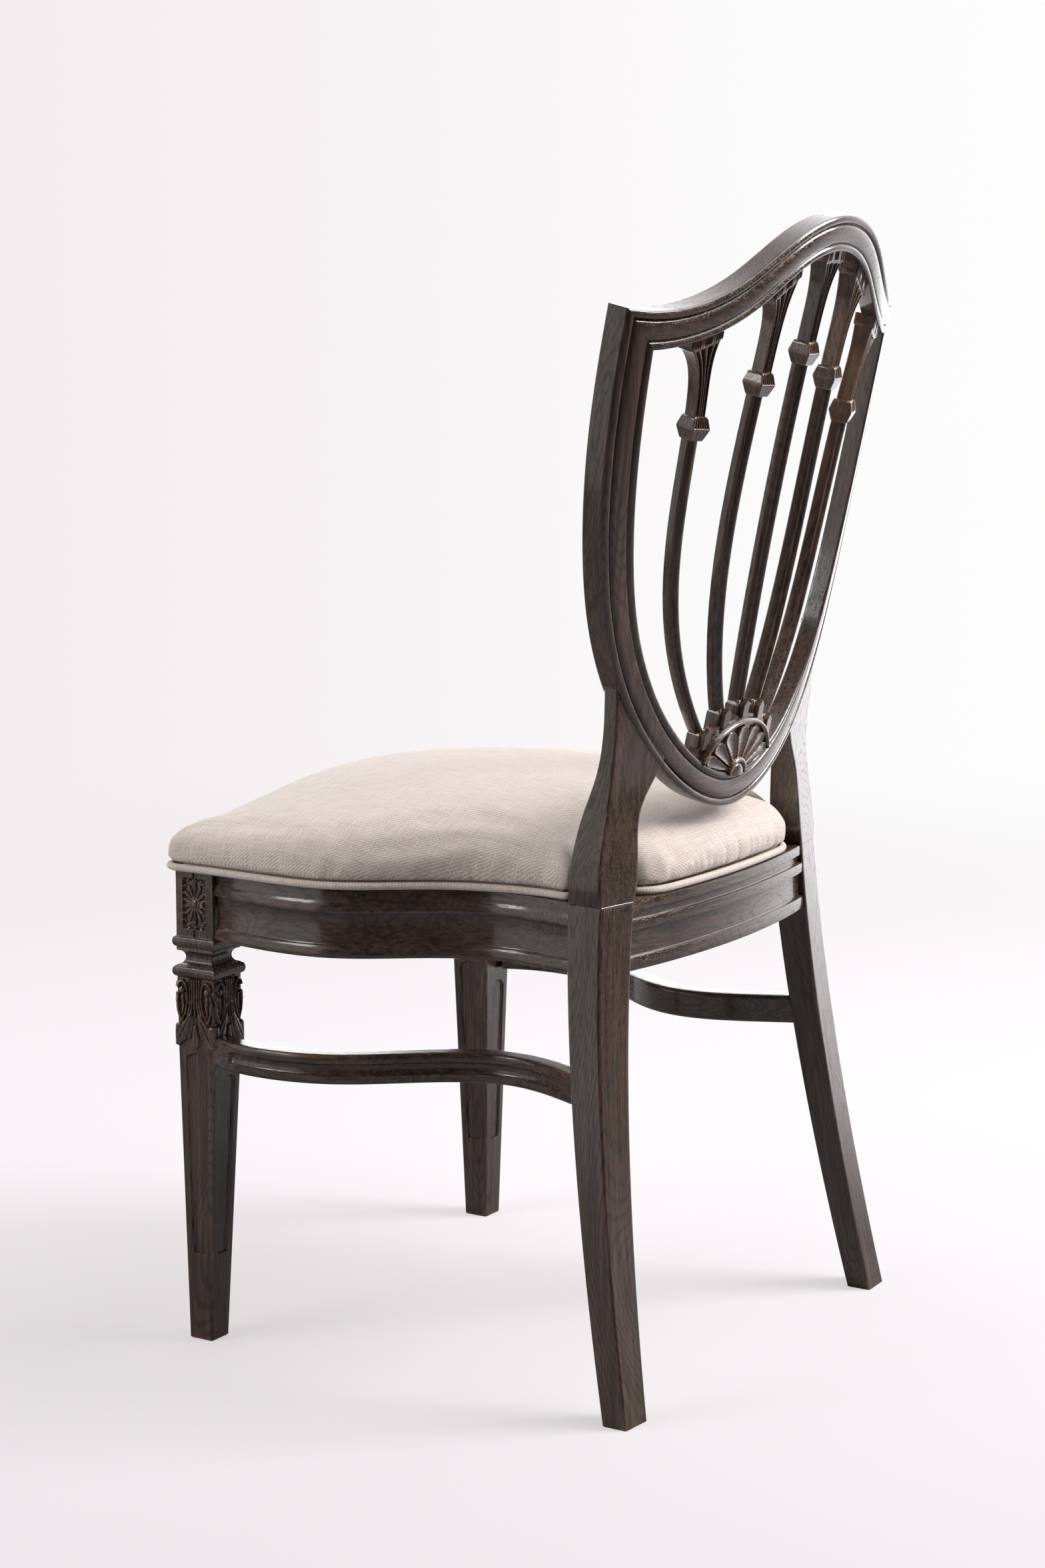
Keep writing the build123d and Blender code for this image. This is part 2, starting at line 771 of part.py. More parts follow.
with BuildPart() as crest_body:
    add(ring)
    add(crest_prism, mode=Mode.INTERSECT)
with BuildPart() as bow_body:
    add(ring)
    add(bow_prism, mode=Mode.INTERSECT)
with BuildPart() as stile_body:
    add(ring)
    add(crest_prism, mode=Mode.SUBTRACT)
    add(bow_prism, mode=Mode.SUBTRACT)
stile_solid = max(stile_body.part.solids(), key=lambda solid: solid.center().X)

post_turn = math.tan(math.radians(rear_turn_top))
with BuildPart() as post_blank:
    for rise, outer, inner, front, back in post_sections:
        lean = (outer - inner) * post_turn
        with BuildSketch(Plane.XY.offset(rail_top + rise)):
            with BuildLine():
                Polyline((outer, back), (inner, back + lean), (inner, front + lean), (outer, front),
                         close=True)
            make_face()
    loft()
    add(prism(outline(outer_bead / 2)), mode=Mode.SUBTRACT)
    add(bow_prism, mode=Mode.SUBTRACT)
post_solid = max(post_blank.part.solids(), key=lambda solid: solid.volume)

crest_peg_start = on_back(*crest_dowel, frame_depth / 2) - shield_up * (dowel_length / 2)
bow_way = Vector(slope_cos, 0, 0) + shield_up * slope_sin
bow_peg_start = on_back(*bow_joint, frame_depth / 2) - bow_way * (dowel_length / 2)
crest_hole = bore(crest_peg_start, shield_up, dowel_size, dowel_length, joint_fit)
bow_hole = bore(bow_peg_start, bow_way, dowel_size, dowel_length, joint_fit)
pair("back_stile", cut(joined(stile_solid, post_solid), crest_hole, bow_hole, post_hole))

# Fan carved at the foot of the shield, on both faces of its plinth


def ellipse_at(centre, reach):
    """An ellipse placed on the face of the shield."""
    with BuildSketch() as sketch:
        with Locations(centre):
            Ellipse(*reach)
    return sketch.sketch


opening = outline(frame_width + curve_fit)


def inside_opening(face):
    """The part of a drawn face that lies in the opening of the frame."""
    with BuildSketch() as sketch:
        add(face)
        add(opening, mode=Mode.INTERSECT)
    return sketch.sketch


with BuildSketch() as rim_lines:
    with Locations(fan_centre):
        Ellipse(*fan_reach)
        Ellipse(fan_reach[0] - fan_rim, fan_reach[1] - fan_rim, mode=Mode.SUBTRACT)
petal_reach = [reach - fan_rim - fan_petal_gap for reach in fan_reach]
petal_root = fan_boss - fan_petal_gap
with BuildSketch() as fan_lines:
    for number in range(fan_petals):
        turn = 180 * (number + 0.5) / fan_petals
        across, along = math.cos(math.radians(turn)), math.sin(math.radians(turn))
        full = 1 / math.hypot(across / petal_reach[0], along / petal_reach[1])
        middle = (full + petal_root) / 2
        place = Location((fan_centre[0] + across * middle, fan_centre[1] + along * middle, 0), (0, 0, turn))
        with Locations(place):
            Ellipse((full - petal_root) / 2, fan_petal_width / 2)
    with Locations(fan_centre):
        Circle(fan_boss)
plinth_face = inside_opening(ellipse_at(plinth_centre, plinth_reach))
carved_faces = [inside_opening(rim_lines.sketch), inside_opening(fan_lines.sketch)]
rear_depth, front_depth = plinth_depths
plinth = joined(
    relief(plinth_face, rear_depth, front_depth),
    *[relief(face, rear_depth - fan_relief, rear_depth) for face in carved_faces],
    *[relief(face, front_depth, front_depth + fan_relief) for face in carved_faces],
)

# Splats: spear foot, ridged bar, faceted knop and a flared capital under the crest


def through(points, value):
    """X of the smooth curve through four points at a height."""
    total = 0.0
    for x, height in points:
        weight = 1.0
        for _, other in points:
            if other != height:
                weight *= (value - other) / (height - other)
        total += x * weight
    return total


with BuildSketch() as splat_zone:
    add(opening)
    add(ellipse_at(plinth_centre, [reach + curve_fit for reach in plinth_reach]), mode=Mode.SUBTRACT)
with BuildSketch() as cap_zone:
    add(opening)
    add(outline(frame_width + cap_thickness), mode=Mode.SUBTRACT)
splat_prism, cap_prism = prism(splat_zone.sketch), prism(cap_zone.sketch)


def splat(line, knop_height_up):
    """One splat between the plinth and the crest rail."""
    foot, head = line[0][1], line[-1][1]

    def place(height):
        x = through(line, height)
        share = (height - foot) / (head - foot)
        depth = splat_set_back + splat_bow * 4 * share * (1 - share)
        turn = -math.degrees(math.asin(x / bow_radius))
        return Location((x, -sagitta(x) - depth, 0), (0, 0, turn))

    def column(low, high, size):
        with BuildPart() as block:
            with BuildSketch(level(low)):
                with Locations(place((low + high) / 2)):
                    with Locations((0, -splat_bar[1] / 2)):
                        Rectangle(*size)
            extrude(amount=high - low)
        return block.part

    knop_low, knop_high = knop_height_up - knop_height / 2, knop_height_up + knop_height / 2
    wide, deep = splat_bar
    with BuildPart() as bar:
        for number in range(splat_sections):
            height = foot + (knop_low + knop_overlap - foot) * number / (splat_sections - 1)
            with BuildSketch(level(height)):
                with Locations(place(height)):
                    Polygon((-wide / 2, -deep), (wide / 2, -deep), (wide / 2, -splat_ridge), (0, 0),
                            (-wide / 2, -splat_ridge), align=None)
        loft()
    with BuildPart() as knop:
        for rise, size in ((-knop_height / 2, knop_neck), (-knop_flat / 2, knop_size),
                           (knop_flat / 2, knop_size), (knop_height / 2, knop_neck)):
            with BuildSketch(level(knop_height_up + rise)):
                with Locations(place(knop_height_up)):
                    with Locations(Location((0, -deep / 2, 0), (0, 0, 180 / knop_sides))):
                        RegularPolygon(size / 2, knop_sides, major_radius=False)
        loft(ruled=True)
    with BuildPart() as flare:
        for height, size in ((knop_high - knop_overlap, capital_neck),
                             ((knop_high + head) / 2, capital_neck),
                             (head + cap_thickness, capital_head)):
            with BuildSketch(level(height)):
                with Locations(place(height)):
                    with Locations((0, -deep / 2)):
                        Rectangle(*size)
        loft()
    with BuildPart() as cap:
        add(column(head - 3 * cap_thickness, head + 3 * cap_thickness, cap_size))
        add(cap_prism, mode=Mode.INTERSECT)
    with BuildPart() as body:
        tab = column(foot - tab_height, foot + tab_height / 2, tab_size)
        add(joined(bar.part, knop.part, flare.part, cap.part, tab))
        add(splat_prism, mode=Mode.INTERSECT)
    solid = max(body.part.solids(), key=lambda piece: piece.volume)
    tenons = []
    for height in (head, foot):
        spot = place(height)
        start = level(height).from_local_coords(spot.position + Vector(0, -deep / 2, 0))
        tenons.append((start - shield_up * splat_tenon_length, shield_up))
    return solid, tenons


splat_pegs = []
peg_length = 2 * splat_tenon_length
for name in ("outer", "inner", "centre"):
    body, tenons = splat(splat_lines[name], knop_heights[name])
    whole = joined(body, *[rod(start, way, splat_tenon, peg_length) for start, way in tenons])
    holes = [bore(start, way, splat_tenon, peg_length, joint_fit) for start, way in tenons]
    if name == "centre":
        keep("splat_centre", whole)
        splat_pegs += holes
    else:
        pair(f"splat_{name}", whole)
        splat_pegs += holes + [other_side(hole) for hole in holes]

keep("crest_rail", cut(crest_body.part, crest_hole, other_side(crest_hole), *splat_pegs))
keep("shield_bow", cut(bow_body.part, bow_hole, other_side(bow_hole)))
keep("fan_plinth", cut(plinth, *splat_pegs))

# Seat: board, stuffed pad with its crown, and piping round the lower edge


def seat_face(inset):
    """Plan of the seat, cut round the posts, drawn in by inset."""
    out_x, notch_y, in_x, rear_y = cushion_notch
    half_front = cushion_corner[0] - cushion_bevel - inset / 2
    front_y = cushion_front_y + inset
    left_side = drawn_in([cushion_corner, *cushion_side, (out_x, notch_y)], -inset)
    left_side[-1] = (out_x - inset, notch_y - inset)
    right_side = [(-x, y) for x, y in reversed(left_side)]
    notch = [left_side[-1], (in_x - inset, notch_y - inset), (in_x - inset, rear_y - inset)]
    with BuildSketch() as sketch:
        with BuildLine():
            ThreePointArc((-half_front, front_y), (0, front_y - cushion_front_rise), (half_front, front_y))
            Line((half_front, front_y), left_side[0])
            Spline(*left_side)
            Polyline(*notch)
            ThreePointArc(notch[-1], (0, cushion_rear_y - inset), (-notch[-1][0], notch[-1][1]))
            Polyline(*[(-x, y) for x, y in reversed(notch)])
            Spline(*right_side)
            Line(right_side[-1], (-half_front, front_y))
        make_face()
    return sketch.sketch


seat_bores = seat_holes + [other_side(hole) for hole in seat_holes]
with BuildPart() as board:
    with BuildSketch(Plane.XY.offset(rail_top)):
        add(seat_face(board_inset))
    extrude(amount=board_thickness)
    for hole in seat_bores:
        add(hole, mode=Mode.SUBTRACT)
keep("seat_board", board.part)

with BuildPart() as piping:
    with BuildSketch(Plane.XY.offset(rail_top + piping_gap)):
        add(seat_face(0))
        add(seat_face(piping_size), mode=Mode.SUBTRACT)
    extrude(amount=piping_size)
    chamfer(piping.edges().filter_by(Axis.Z, reverse=True), piping_edge)
keep("seat_piping", piping.part)

with BuildPart() as crown:
    with Locations((0, crown_centre_y, crown_height - crown_radius)):
        Sphere(crown_radius)
with BuildPart() as cushion:
    with BuildSketch(Plane.XY.offset(piping_top + piping_gap)):
        add(seat_face(0))
    extrude(amount=crown_height)
    add(crown.part, mode=Mode.INTERSECT)
    top_face = cushion.faces().sort_by(Axis.Z)[-1]
    fillet(top_face.edges(), cushion_edge)
    with BuildSketch(Plane.XY.offset(rail_top)):
        add(seat_face(board_inset - joint_fit))
    extrude(amount=board_thickness, mode=Mode.SUBTRACT)
keep("seat_cushion", cushion.part)

# Fasteners, each kind one group of separate solids


def group(*solids):
    """Separate solids of one kind, and the same on the other side."""
    with BuildPart() as set_of:
        for solid in solids:
            add(solid)
            add(other_side(solid))
    return set_of.part


keep("corner_screws", group(*[screw_solid(placed) for placed in screws["front"] + screws["rear"]]))
keep("seat_screws", group(*[screw_solid(placed) for placed in seat_screws.values()]))
keep("post_dowels", group(rod(dowel_start, (0, 0, 1), post_dowel_size, post_dowel_length)))
keep("crest_dowels", group(rod(crest_peg_start, shield_up, dowel_size, dowel_length)))
keep("bow_dowels", group(rod(bow_peg_start, bow_way, dowel_size, dowel_length)))

# The origin stands on the floor below the middle of the chair
boxes = [part.bounding_box() for part in pieces.values()]
middle_y = (min(box.min.Y for box in boxes) + max(box.max.Y for box in boxes)) / 2
for name, part in pieces.items():
    placed = Pos(0, -middle_y, 0) * part
    placed.label = name
    export_step(placed, f"parts/{name}.step")
    print(name, len(placed.solids()), round(placed.volume), placed.is_valid)
print("middle", round(middle_y, 2))
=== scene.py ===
# %% [markdown]
# # A shield-back dining chair
#
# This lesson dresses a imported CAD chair: dark, brushed and rubbed oak with carved legs, a shield back
# with five splats and a fan, and a stuffed linen seat. The CAD nodes give every place and size. Each
# visible piece is then built again as a finer mesh that stands for its node, because mouldings and
# carving need round edges and hollows that the plain solids don't have.

# %% Load the frame
import math
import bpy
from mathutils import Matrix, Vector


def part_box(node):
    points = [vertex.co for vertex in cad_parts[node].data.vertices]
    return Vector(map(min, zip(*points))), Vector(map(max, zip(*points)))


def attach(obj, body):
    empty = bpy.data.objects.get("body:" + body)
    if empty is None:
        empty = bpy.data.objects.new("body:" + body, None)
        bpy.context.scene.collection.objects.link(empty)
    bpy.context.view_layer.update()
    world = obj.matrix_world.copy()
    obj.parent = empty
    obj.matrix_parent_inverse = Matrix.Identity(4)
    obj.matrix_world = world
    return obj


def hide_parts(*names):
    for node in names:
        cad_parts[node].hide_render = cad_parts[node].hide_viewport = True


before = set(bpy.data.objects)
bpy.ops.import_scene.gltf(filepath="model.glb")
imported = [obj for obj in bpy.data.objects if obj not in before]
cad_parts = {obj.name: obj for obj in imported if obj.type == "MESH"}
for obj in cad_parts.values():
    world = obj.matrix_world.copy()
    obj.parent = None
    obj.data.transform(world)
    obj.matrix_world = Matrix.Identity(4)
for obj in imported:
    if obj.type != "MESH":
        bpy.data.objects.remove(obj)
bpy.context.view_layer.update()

import zlib

import bmesh
import bpy
import numpy as np

mm = 0.001

# %% [markdown]
# ## The camera
#
# The picture was taken from behind and from the sitter's left, a little above the seat. A long lens keeps
# the legs nearly parallel. The camera's place was worked out from the chair's own symmetry, so the render
# lies over the photograph without any shift.

# %% Camera
camera_data = bpy.data.cameras.new("camera")
camera_data.sensor_fit = "VERTICAL"
camera_data.sensor_height = 36.0
camera_data.lens = 79.56
camera = bpy.data.objects.new("camera", camera_data)
camera.location = (2.620, 1.598, 1.018)
view_turn = math.radians(122.19)
view_drop = math.radians(9.67)
camera.rotation_euler = (math.pi / 2 - view_drop, 0, view_turn)
bpy.context.scene.collection.objects.link(camera)
bpy.context.scene.camera = camera
print("camera", [round(v, 3) for v in camera.location])

# %% [markdown]
# ## Floor and light
#
# A studio sweep looks endless, but a real wall would stand in the way of other views. So the floor is a
# disc that fades out towards its rim and lets the pale world show behind it. Its paper also glows a
# little, which keeps the shadows as faint as in the photograph. One wide soft lamp stands beyond the
# chair, where the photograph's shadows say it is, and one hangs above. On the near side, a wide fill that
# gloss doesn't show keeps dark faces readable, a weaker one in front of it gives them a sheen, and a
# small lamp high up puts glints on the edges. The world is bright on the side of the backdrop and dim
# behind the camera, as a studio is. That difference gives dark satin wood its shape.

# %% Floor
floor_radius = 3.4
floor_fade = (1.3, 3.2)
floor_far, floor_glow = (-1.2, 0.9), (0.48, 0.68)
shine_far, floor_shine = (0.25, 1.4), 1.3
studio_white = (0.94, 0.905, 0.92, 1)
paper_colour = (0.20, 0.193, 0.20, 1)
backdrop_way = (-0.86, -0.42, 0.28)


def new_material(name):
    """An empty node material and its node tree."""
    material = bpy.data.materials.new(name)
    material.use_nodes = True
    material.node_tree.nodes.clear()
    return material, material.node_tree


def add_node(tree, kind, inputs=None, **settings):
    """A shader node with its settings; inputs that are sockets get linked, others are set."""
    node = tree.nodes.new(kind)
    for key, value in settings.items():
        setattr(node, key, value)
    for key, value in (inputs or {}).items():
        if isinstance(value, bpy.types.NodeSocket):
            tree.links.new(value, node.inputs[key])
        else:
            node.inputs[key].default_value = value
    return node


def maths(tree, operation, first, second=0.0, clamp=False):
    """One step of arithmetic; gives its output socket."""
    node = add_node(tree, "ShaderNodeMath", {0: first, 1: second}, operation=operation, use_clamp=clamp)
    return node.outputs[0]


def fade(tree, value, low, high):
    """0 below low, 1 above high and smooth between."""
    inputs = {"Value": value, "From Min": low, "From Max": high}
    node = add_node(tree, "ShaderNodeMapRange", inputs, interpolation_type="SMOOTHSTEP")
    return node.outputs["Result"]


def mix_colour(tree, factor, first, second, blend="MIX"):
    """Two colours mixed; gives the output socket."""
    node = add_node(tree, "ShaderNodeMix", data_type="RGBA", blend_type=blend, clamp_result=True)
    for socket, value in ((node.inputs[0], factor), (node.inputs[6], first), (node.inputs[7], second)):
        if isinstance(value, bpy.types.NodeSocket):
            tree.links.new(value, socket)
        else:
            socket.default_value = value
    return node.outputs[2]


bpy.ops.mesh.primitive_circle_add(vertices=96, radius=floor_radius, fill_type="NGON")
floor = bpy.context.object
floor.name = "studio_floor"
floor_material, tree = new_material("studio_floor")
place = add_node(tree, "ShaderNodeTexCoord").outputs["Object"]
distance = add_node(tree, "ShaderNodeVectorMath", {0: place}, operation="LENGTH").outputs["Value"]
paper = add_node(tree, "ShaderNodeBsdfDiffuse", {"Color": paper_colour})
rays = add_node(tree, "ShaderNodeLightPath")
seen = maths(tree, "MAXIMUM", rays.outputs["Is Camera Ray"], rays.outputs["Is Transmission Ray"])
away = add_node(tree, "ShaderNodeVectorMath", {0: place, 1: backdrop_way}, operation="DOT_PRODUCT")
far = fade(tree, away.outputs["Value"], *floor_far)
shown = maths(tree, "MULTIPLY", seen, maths(tree, "MULTIPLY_ADD", far, floor_glow[1] - floor_glow[0]))
shown.node.inputs[1].links[0].from_node.inputs[2].default_value = floor_glow[0]
shine = maths(tree, "MULTIPLY", fade(tree, away.outputs["Value"], *shine_far), floor_shine)
mirrored = maths(tree, "MULTIPLY", rays.outputs["Is Glossy Ray"], shine)
strength = maths(tree, "ADD", shown, mirrored)
glow = add_node(tree, "ShaderNodeEmission", {"Color": studio_white, "Strength": strength})
lit = add_node(tree, "ShaderNodeAddShader", {0: paper.outputs[0], 1: glow.outputs[0]})
clear = add_node(tree, "ShaderNodeBsdfTransparent")
gone = fade(tree, distance, *floor_fade)
sheet = add_node(tree, "ShaderNodeMixShader", {0: gone, 1: lit.outputs[0], 2: clear.outputs[0]})
add_node(tree, "ShaderNodeOutputMaterial", {"Surface": sheet.outputs[0]})
floor.data.materials.append(floor_material)
print("floor radius", floor_radius)

# %% World and lamps
picture_right = (-0.53, 0.85, 0)
wall_fade = (-0.22, 0.16)
wall_dim = (0.885, 0.835, 0.855, 1)
wall_pale = (0.985, 0.98, 0.985, 1)
room_colour = (0.97, 0.965, 1.0, 1)
world = bpy.data.worlds.new("studio")
bpy.context.scene.world = world
world.use_nodes = True
tree = world.node_tree
tree.nodes.clear()
rays = add_node(tree, "ShaderNodeLightPath")
seen = maths(tree, "MAXIMUM", rays.outputs["Is Camera Ray"], rays.outputs["Is Transmission Ray"])
direction = add_node(tree, "ShaderNodeTexCoord").outputs["Generated"]
sideways = {0: direction, 1: picture_right}
along_wall = add_node(tree, "ShaderNodeVectorMath", sideways, operation="DOT_PRODUCT")
paler = fade(tree, along_wall.outputs["Value"], *wall_fade)
wall = mix_colour(tree, paler, wall_dim, wall_pale)
backdrop = add_node(tree, "ShaderNodeBackground", {"Color": wall, "Strength": 1.0})
facing = add_node(tree, "ShaderNodeVectorMath", {0: direction, 1: backdrop_way}, operation="DOT_PRODUCT")


def towards_backdrop(start, end, low, high):
    """A level that rises from low to high towards the backdrop."""
    level = maths(tree, "MULTIPLY_ADD", fade(tree, facing.outputs["Value"], start, end), high - low)
    level.node.inputs[2].default_value = low
    return level


glossy = rays.outputs["Is Glossy Ray"]
matt = maths(tree, "SUBTRACT", 1.0, glossy)
spread = maths(tree, "MULTIPLY", towards_backdrop(-0.25, 0.8, 0.20, 0.90), matt)
mirrored = maths(tree, "MULTIPLY", towards_backdrop(0.2, 0.95, 0.05, 3.0), glossy)
level = maths(tree, "ADD", spread, mirrored)
room = add_node(tree, "ShaderNodeBackground", {"Color": room_colour, "Strength": level})
sky = add_node(tree, "ShaderNodeMixShader", {0: seen, 1: room.outputs[0], 2: backdrop.outputs[0]})
add_node(tree, "ShaderNodeOutputWorld", {"Surface": sky.outputs[0]})


def soft_lamp(name, location, target, size, watts, colour, mirrored=True):
    """A square soft box that looks at a point; mirrored says whether gloss shows it."""
    data = bpy.data.lights.new(name, "AREA")
    data.shape = "SQUARE"
    data.size = size
    data.energy = watts
    data.color = colour
    lamp = bpy.data.objects.new(name, data)
    bpy.context.scene.collection.objects.link(lamp)
    lamp.location = location
    lamp.visible_glossy = mirrored
    aim = np.array(target) - np.array(location)
    lamp.rotation_euler = (
        math.atan2(math.hypot(aim[0], aim[1]), -aim[2]), 0, math.atan2(aim[1], aim[0]) - math.pi / 2
    )
    return lamp


seat_middle = (0, 0, 0.5)
soft_lamp("key_lamp", (-1.4, 2.1, 2.3), seat_middle, 1.5, 150, (1.0, 0.99, 0.985))
soft_lamp("top_lamp", (-0.6, 1.2, 2.9), seat_middle, 1.8, 46, (1.0, 1.0, 1.0))
soft_lamp("near_fill", (2.7, -1.9, 1.3), seat_middle, 3.2, 34, (1.0, 0.99, 0.99), mirrored=False)
soft_lamp("near_sheen", (2.6, -1.83, 1.27), seat_middle, 3.2, 26, (1.0, 0.99, 0.99))
soft_lamp("glint_lamp", (2.1, -1.5, 2.5), seat_middle, 1.2, 30, (1.0, 0.99, 0.98))
bpy.context.scene.view_settings.view_transform = "Standard"

# %% [markdown]
# ## The finish
#
# The wood is oak, brushed so that its pores stay open, stained a dark grey brown, glazed with black that
# stays in the hollows, and rubbed back to tan on proud edges. The black in the hollows is partly glaze and
# partly painted shade. Three node groups hold those effects: grain, rubbing with painted shade, and weave.
# Each piece carries two point attributes: grain is its place measured along and across its own timber,
# and rub says how proud or hollow the surface is there. Both stay with the mesh, so they look the same
# from every side.

# %% Grain group
def new_group(name, sockets):
    """A shader node group; sockets are (direction, kind, name) and direction is IN or OUT."""
    group = bpy.data.node_groups.new(name, "ShaderNodeTree")
    for direction, kind, label in sockets:
        group.interface.new_socket(label, in_out=f"{direction}PUT", socket_type=f"NodeSocket{kind}")
    entry = group.nodes.new("NodeGroupInput")
    leave = group.nodes.new("NodeGroupOutput")
    return group, entry, leave


def stretched(tree, vector, scale):
    """A place with each axis scaled, so that noise runs along the timber."""
    node = add_node(tree, "ShaderNodeVectorMath", {0: vector, 1: scale}, operation="MULTIPLY")
    return node.outputs["Vector"]


def noise(tree, vector, scale, detail=3.0, rough=0.55):
    """Plain noise; gives its value."""
    inputs = {"Vector": vector, "Scale": scale, "Detail": detail, "Roughness": rough}
    return add_node(tree, "ShaderNodeTexNoise", inputs).outputs["Fac"]


grain_group, entry, leave = new_group("oak_grain", [
    ("IN", "Vector", "Place"),
    ("OUT", "Float", "Streaks"),
    ("OUT", "Float", "Rings"),
    ("OUT", "Float", "Pores"),
    ("OUT", "Float", "Patches"),
])
place = entry.outputs["Place"]
streaks = noise(grain_group, stretched(grain_group, place, (7, 300, 300)), 1.0, 5.0, 0.62)
drift = noise(grain_group, stretched(grain_group, place, (3.0, 13, 13)), 1.0, 1.0)
waves = maths(grain_group, "SINE", maths(grain_group, "MULTIPLY", drift, 330.0))
rings = fade(grain_group, waves, 0.1, 1.0)
dashes = noise(grain_group, stretched(grain_group, place, (55, 1250, 1250)), 1.0, 2.0, 0.5)
where = maths(grain_group, "MULTIPLY", rings, 0.10)
pores = fade(grain_group, maths(grain_group, "ADD", dashes, where), 0.60, 0.70)
patches = noise(grain_group, stretched(grain_group, place, (7, 34, 34)), 1.0, 4.0, 0.6)
for label, value in (("Streaks", streaks), ("Rings", rings), ("Pores", pores), ("Patches", patches)):
    grain_group.links.new(value, leave.inputs[label])
print("group", grain_group.name)

# %% Rubbing and painted shade group
rub_and_shade_group, entry, leave = new_group("rubbed_glaze_and_shade", [
    ("IN", "Float", "Rub"),
    ("IN", "Float", "Patches"),
    ("IN", "Float", "Streaks"),
    ("OUT", "Float", "Worn"),
    ("OUT", "Float", "Glaze and shade"),
])
uneven = maths(rub_and_shade_group, "MULTIPLY_ADD", entry.outputs["Patches"], 0.5)
uneven.node.inputs[2].default_value = -0.25
ragged = maths(rub_and_shade_group, "MULTIPLY_ADD", entry.outputs["Streaks"], 0.22)
ragged.node.inputs[2].default_value = -0.11
proud = maths(rub_and_shade_group, "ADD", entry.outputs["Rub"], maths(rub_and_shade_group, "ADD", uneven, ragged))
rub_and_shade_group.links.new(fade(rub_and_shade_group, proud, 0.57, 0.94), leave.inputs["Worn"])
# Glaze and painted shade: the more hollow the surface, the darker it is painted.
hollow = maths(rub_and_shade_group, "SUBTRACT", 1.0, maths(rub_and_shade_group, "ADD", entry.outputs["Rub"], ragged))
rub_and_shade_group.links.new(fade(rub_and_shade_group, hollow, 0.53, 0.86), leave.inputs["Glaze and shade"])
print("group", rub_and_shade_group.name)


# %% Oak finish
# Black of the glaze in the pores; in the hollows it is glaze and painted shade together.
glaze_and_shade_black = (0.0065, 0.005, 0.0045, 1)


def oak_finish(name, dark, light, worn, rings_share, gloss):
    """Brushed and glazed oak with painted shade in its hollows; dark and light are its stain, worn its
    rubbed edges.
    """
    material, tree = new_material(name)
    place = add_node(tree, "ShaderNodeAttribute", attribute_name="grain").outputs["Vector"]
    rub = add_node(tree, "ShaderNodeAttribute", attribute_name="rub").outputs["Fac"]
    grain = add_node(tree, "ShaderNodeGroup", node_tree=grain_group)
    tree.links.new(place, grain.inputs["Place"])
    streaks, patches = grain.outputs["Streaks"], grain.outputs["Patches"]
    rubbing_and_shade = add_node(tree, "ShaderNodeGroup", node_tree=rub_and_shade_group)
    for label, value in (("Rub", rub), ("Patches", patches), ("Streaks", streaks)):
        tree.links.new(value, rubbing_and_shade.inputs[label])
    ringed = maths(tree, "MULTIPLY", grain.outputs["Rings"], rings_share)
    fibres = fade(tree, maths(tree, "SUBTRACT", streaks, ringed), 0.28, 0.70)
    colour = mix_colour(tree, fibres, dark, light)
    cloud = fade(tree, patches, 0.35, 0.75)
    colour = mix_colour(tree, maths(tree, "MULTIPLY", cloud, 0.13), colour, worn)
    colour = mix_colour(tree, maths(tree, "MULTIPLY", rubbing_and_shade.outputs["Worn"], 0.75), colour, worn)
    colour = mix_colour(tree, maths(tree, "MULTIPLY", grain.outputs["Pores"], 0.70), colour, glaze_and_shade_black)
    # Glaze and painted shade darken the hollows.
    colour = mix_colour(tree, maths(tree, "MULTIPLY", rubbing_and_shade.outputs["Glaze and shade"], 0.88), colour, glaze_and_shade_black)
    relief = maths(tree, "MULTIPLY_ADD", streaks, 0.35)
    tree.links.new(maths(tree, "MULTIPLY", grain.outputs["Pores"], -0.4), relief.node.inputs[2])
    bump = add_node(tree, "ShaderNodeBump", {"Strength": 0.42, "Distance": 0.0006, "Height": relief})
    rough = maths(tree, "MULTIPLY_ADD", grain.outputs["Pores"], 0.25)
    tree.links.new(maths(tree, "MULTIPLY_ADD", streaks, 0.15), rough.node.inputs[2])
    rough.node.inputs[2].links[0].from_node.inputs[2].default_value = gloss
    shader = add_node(tree, "ShaderNodeBsdfPrincipled", {
        "Base Color": colour, "Roughness": rough, "Normal": bump.outputs["Normal"],
    })
    shader.inputs["Specular IOR Level"].default_value = 0.5
    shader.inputs["Coat Weight"].default_value = 0.45
    shader.inputs["Coat Roughness"].default_value = 0.10
    add_node(tree, "ShaderNodeOutputMaterial", {"Surface": shader.outputs[0]})
    return material


dark_oak = oak_finish(
    "dark_oak", (0.0158, 0.0092, 0.0068, 1), (0.066, 0.0388, 0.0277, 1), (0.195, 0.113, 0.066, 1), 0.12, 0.11
)
print("finish", dark_oak.name)
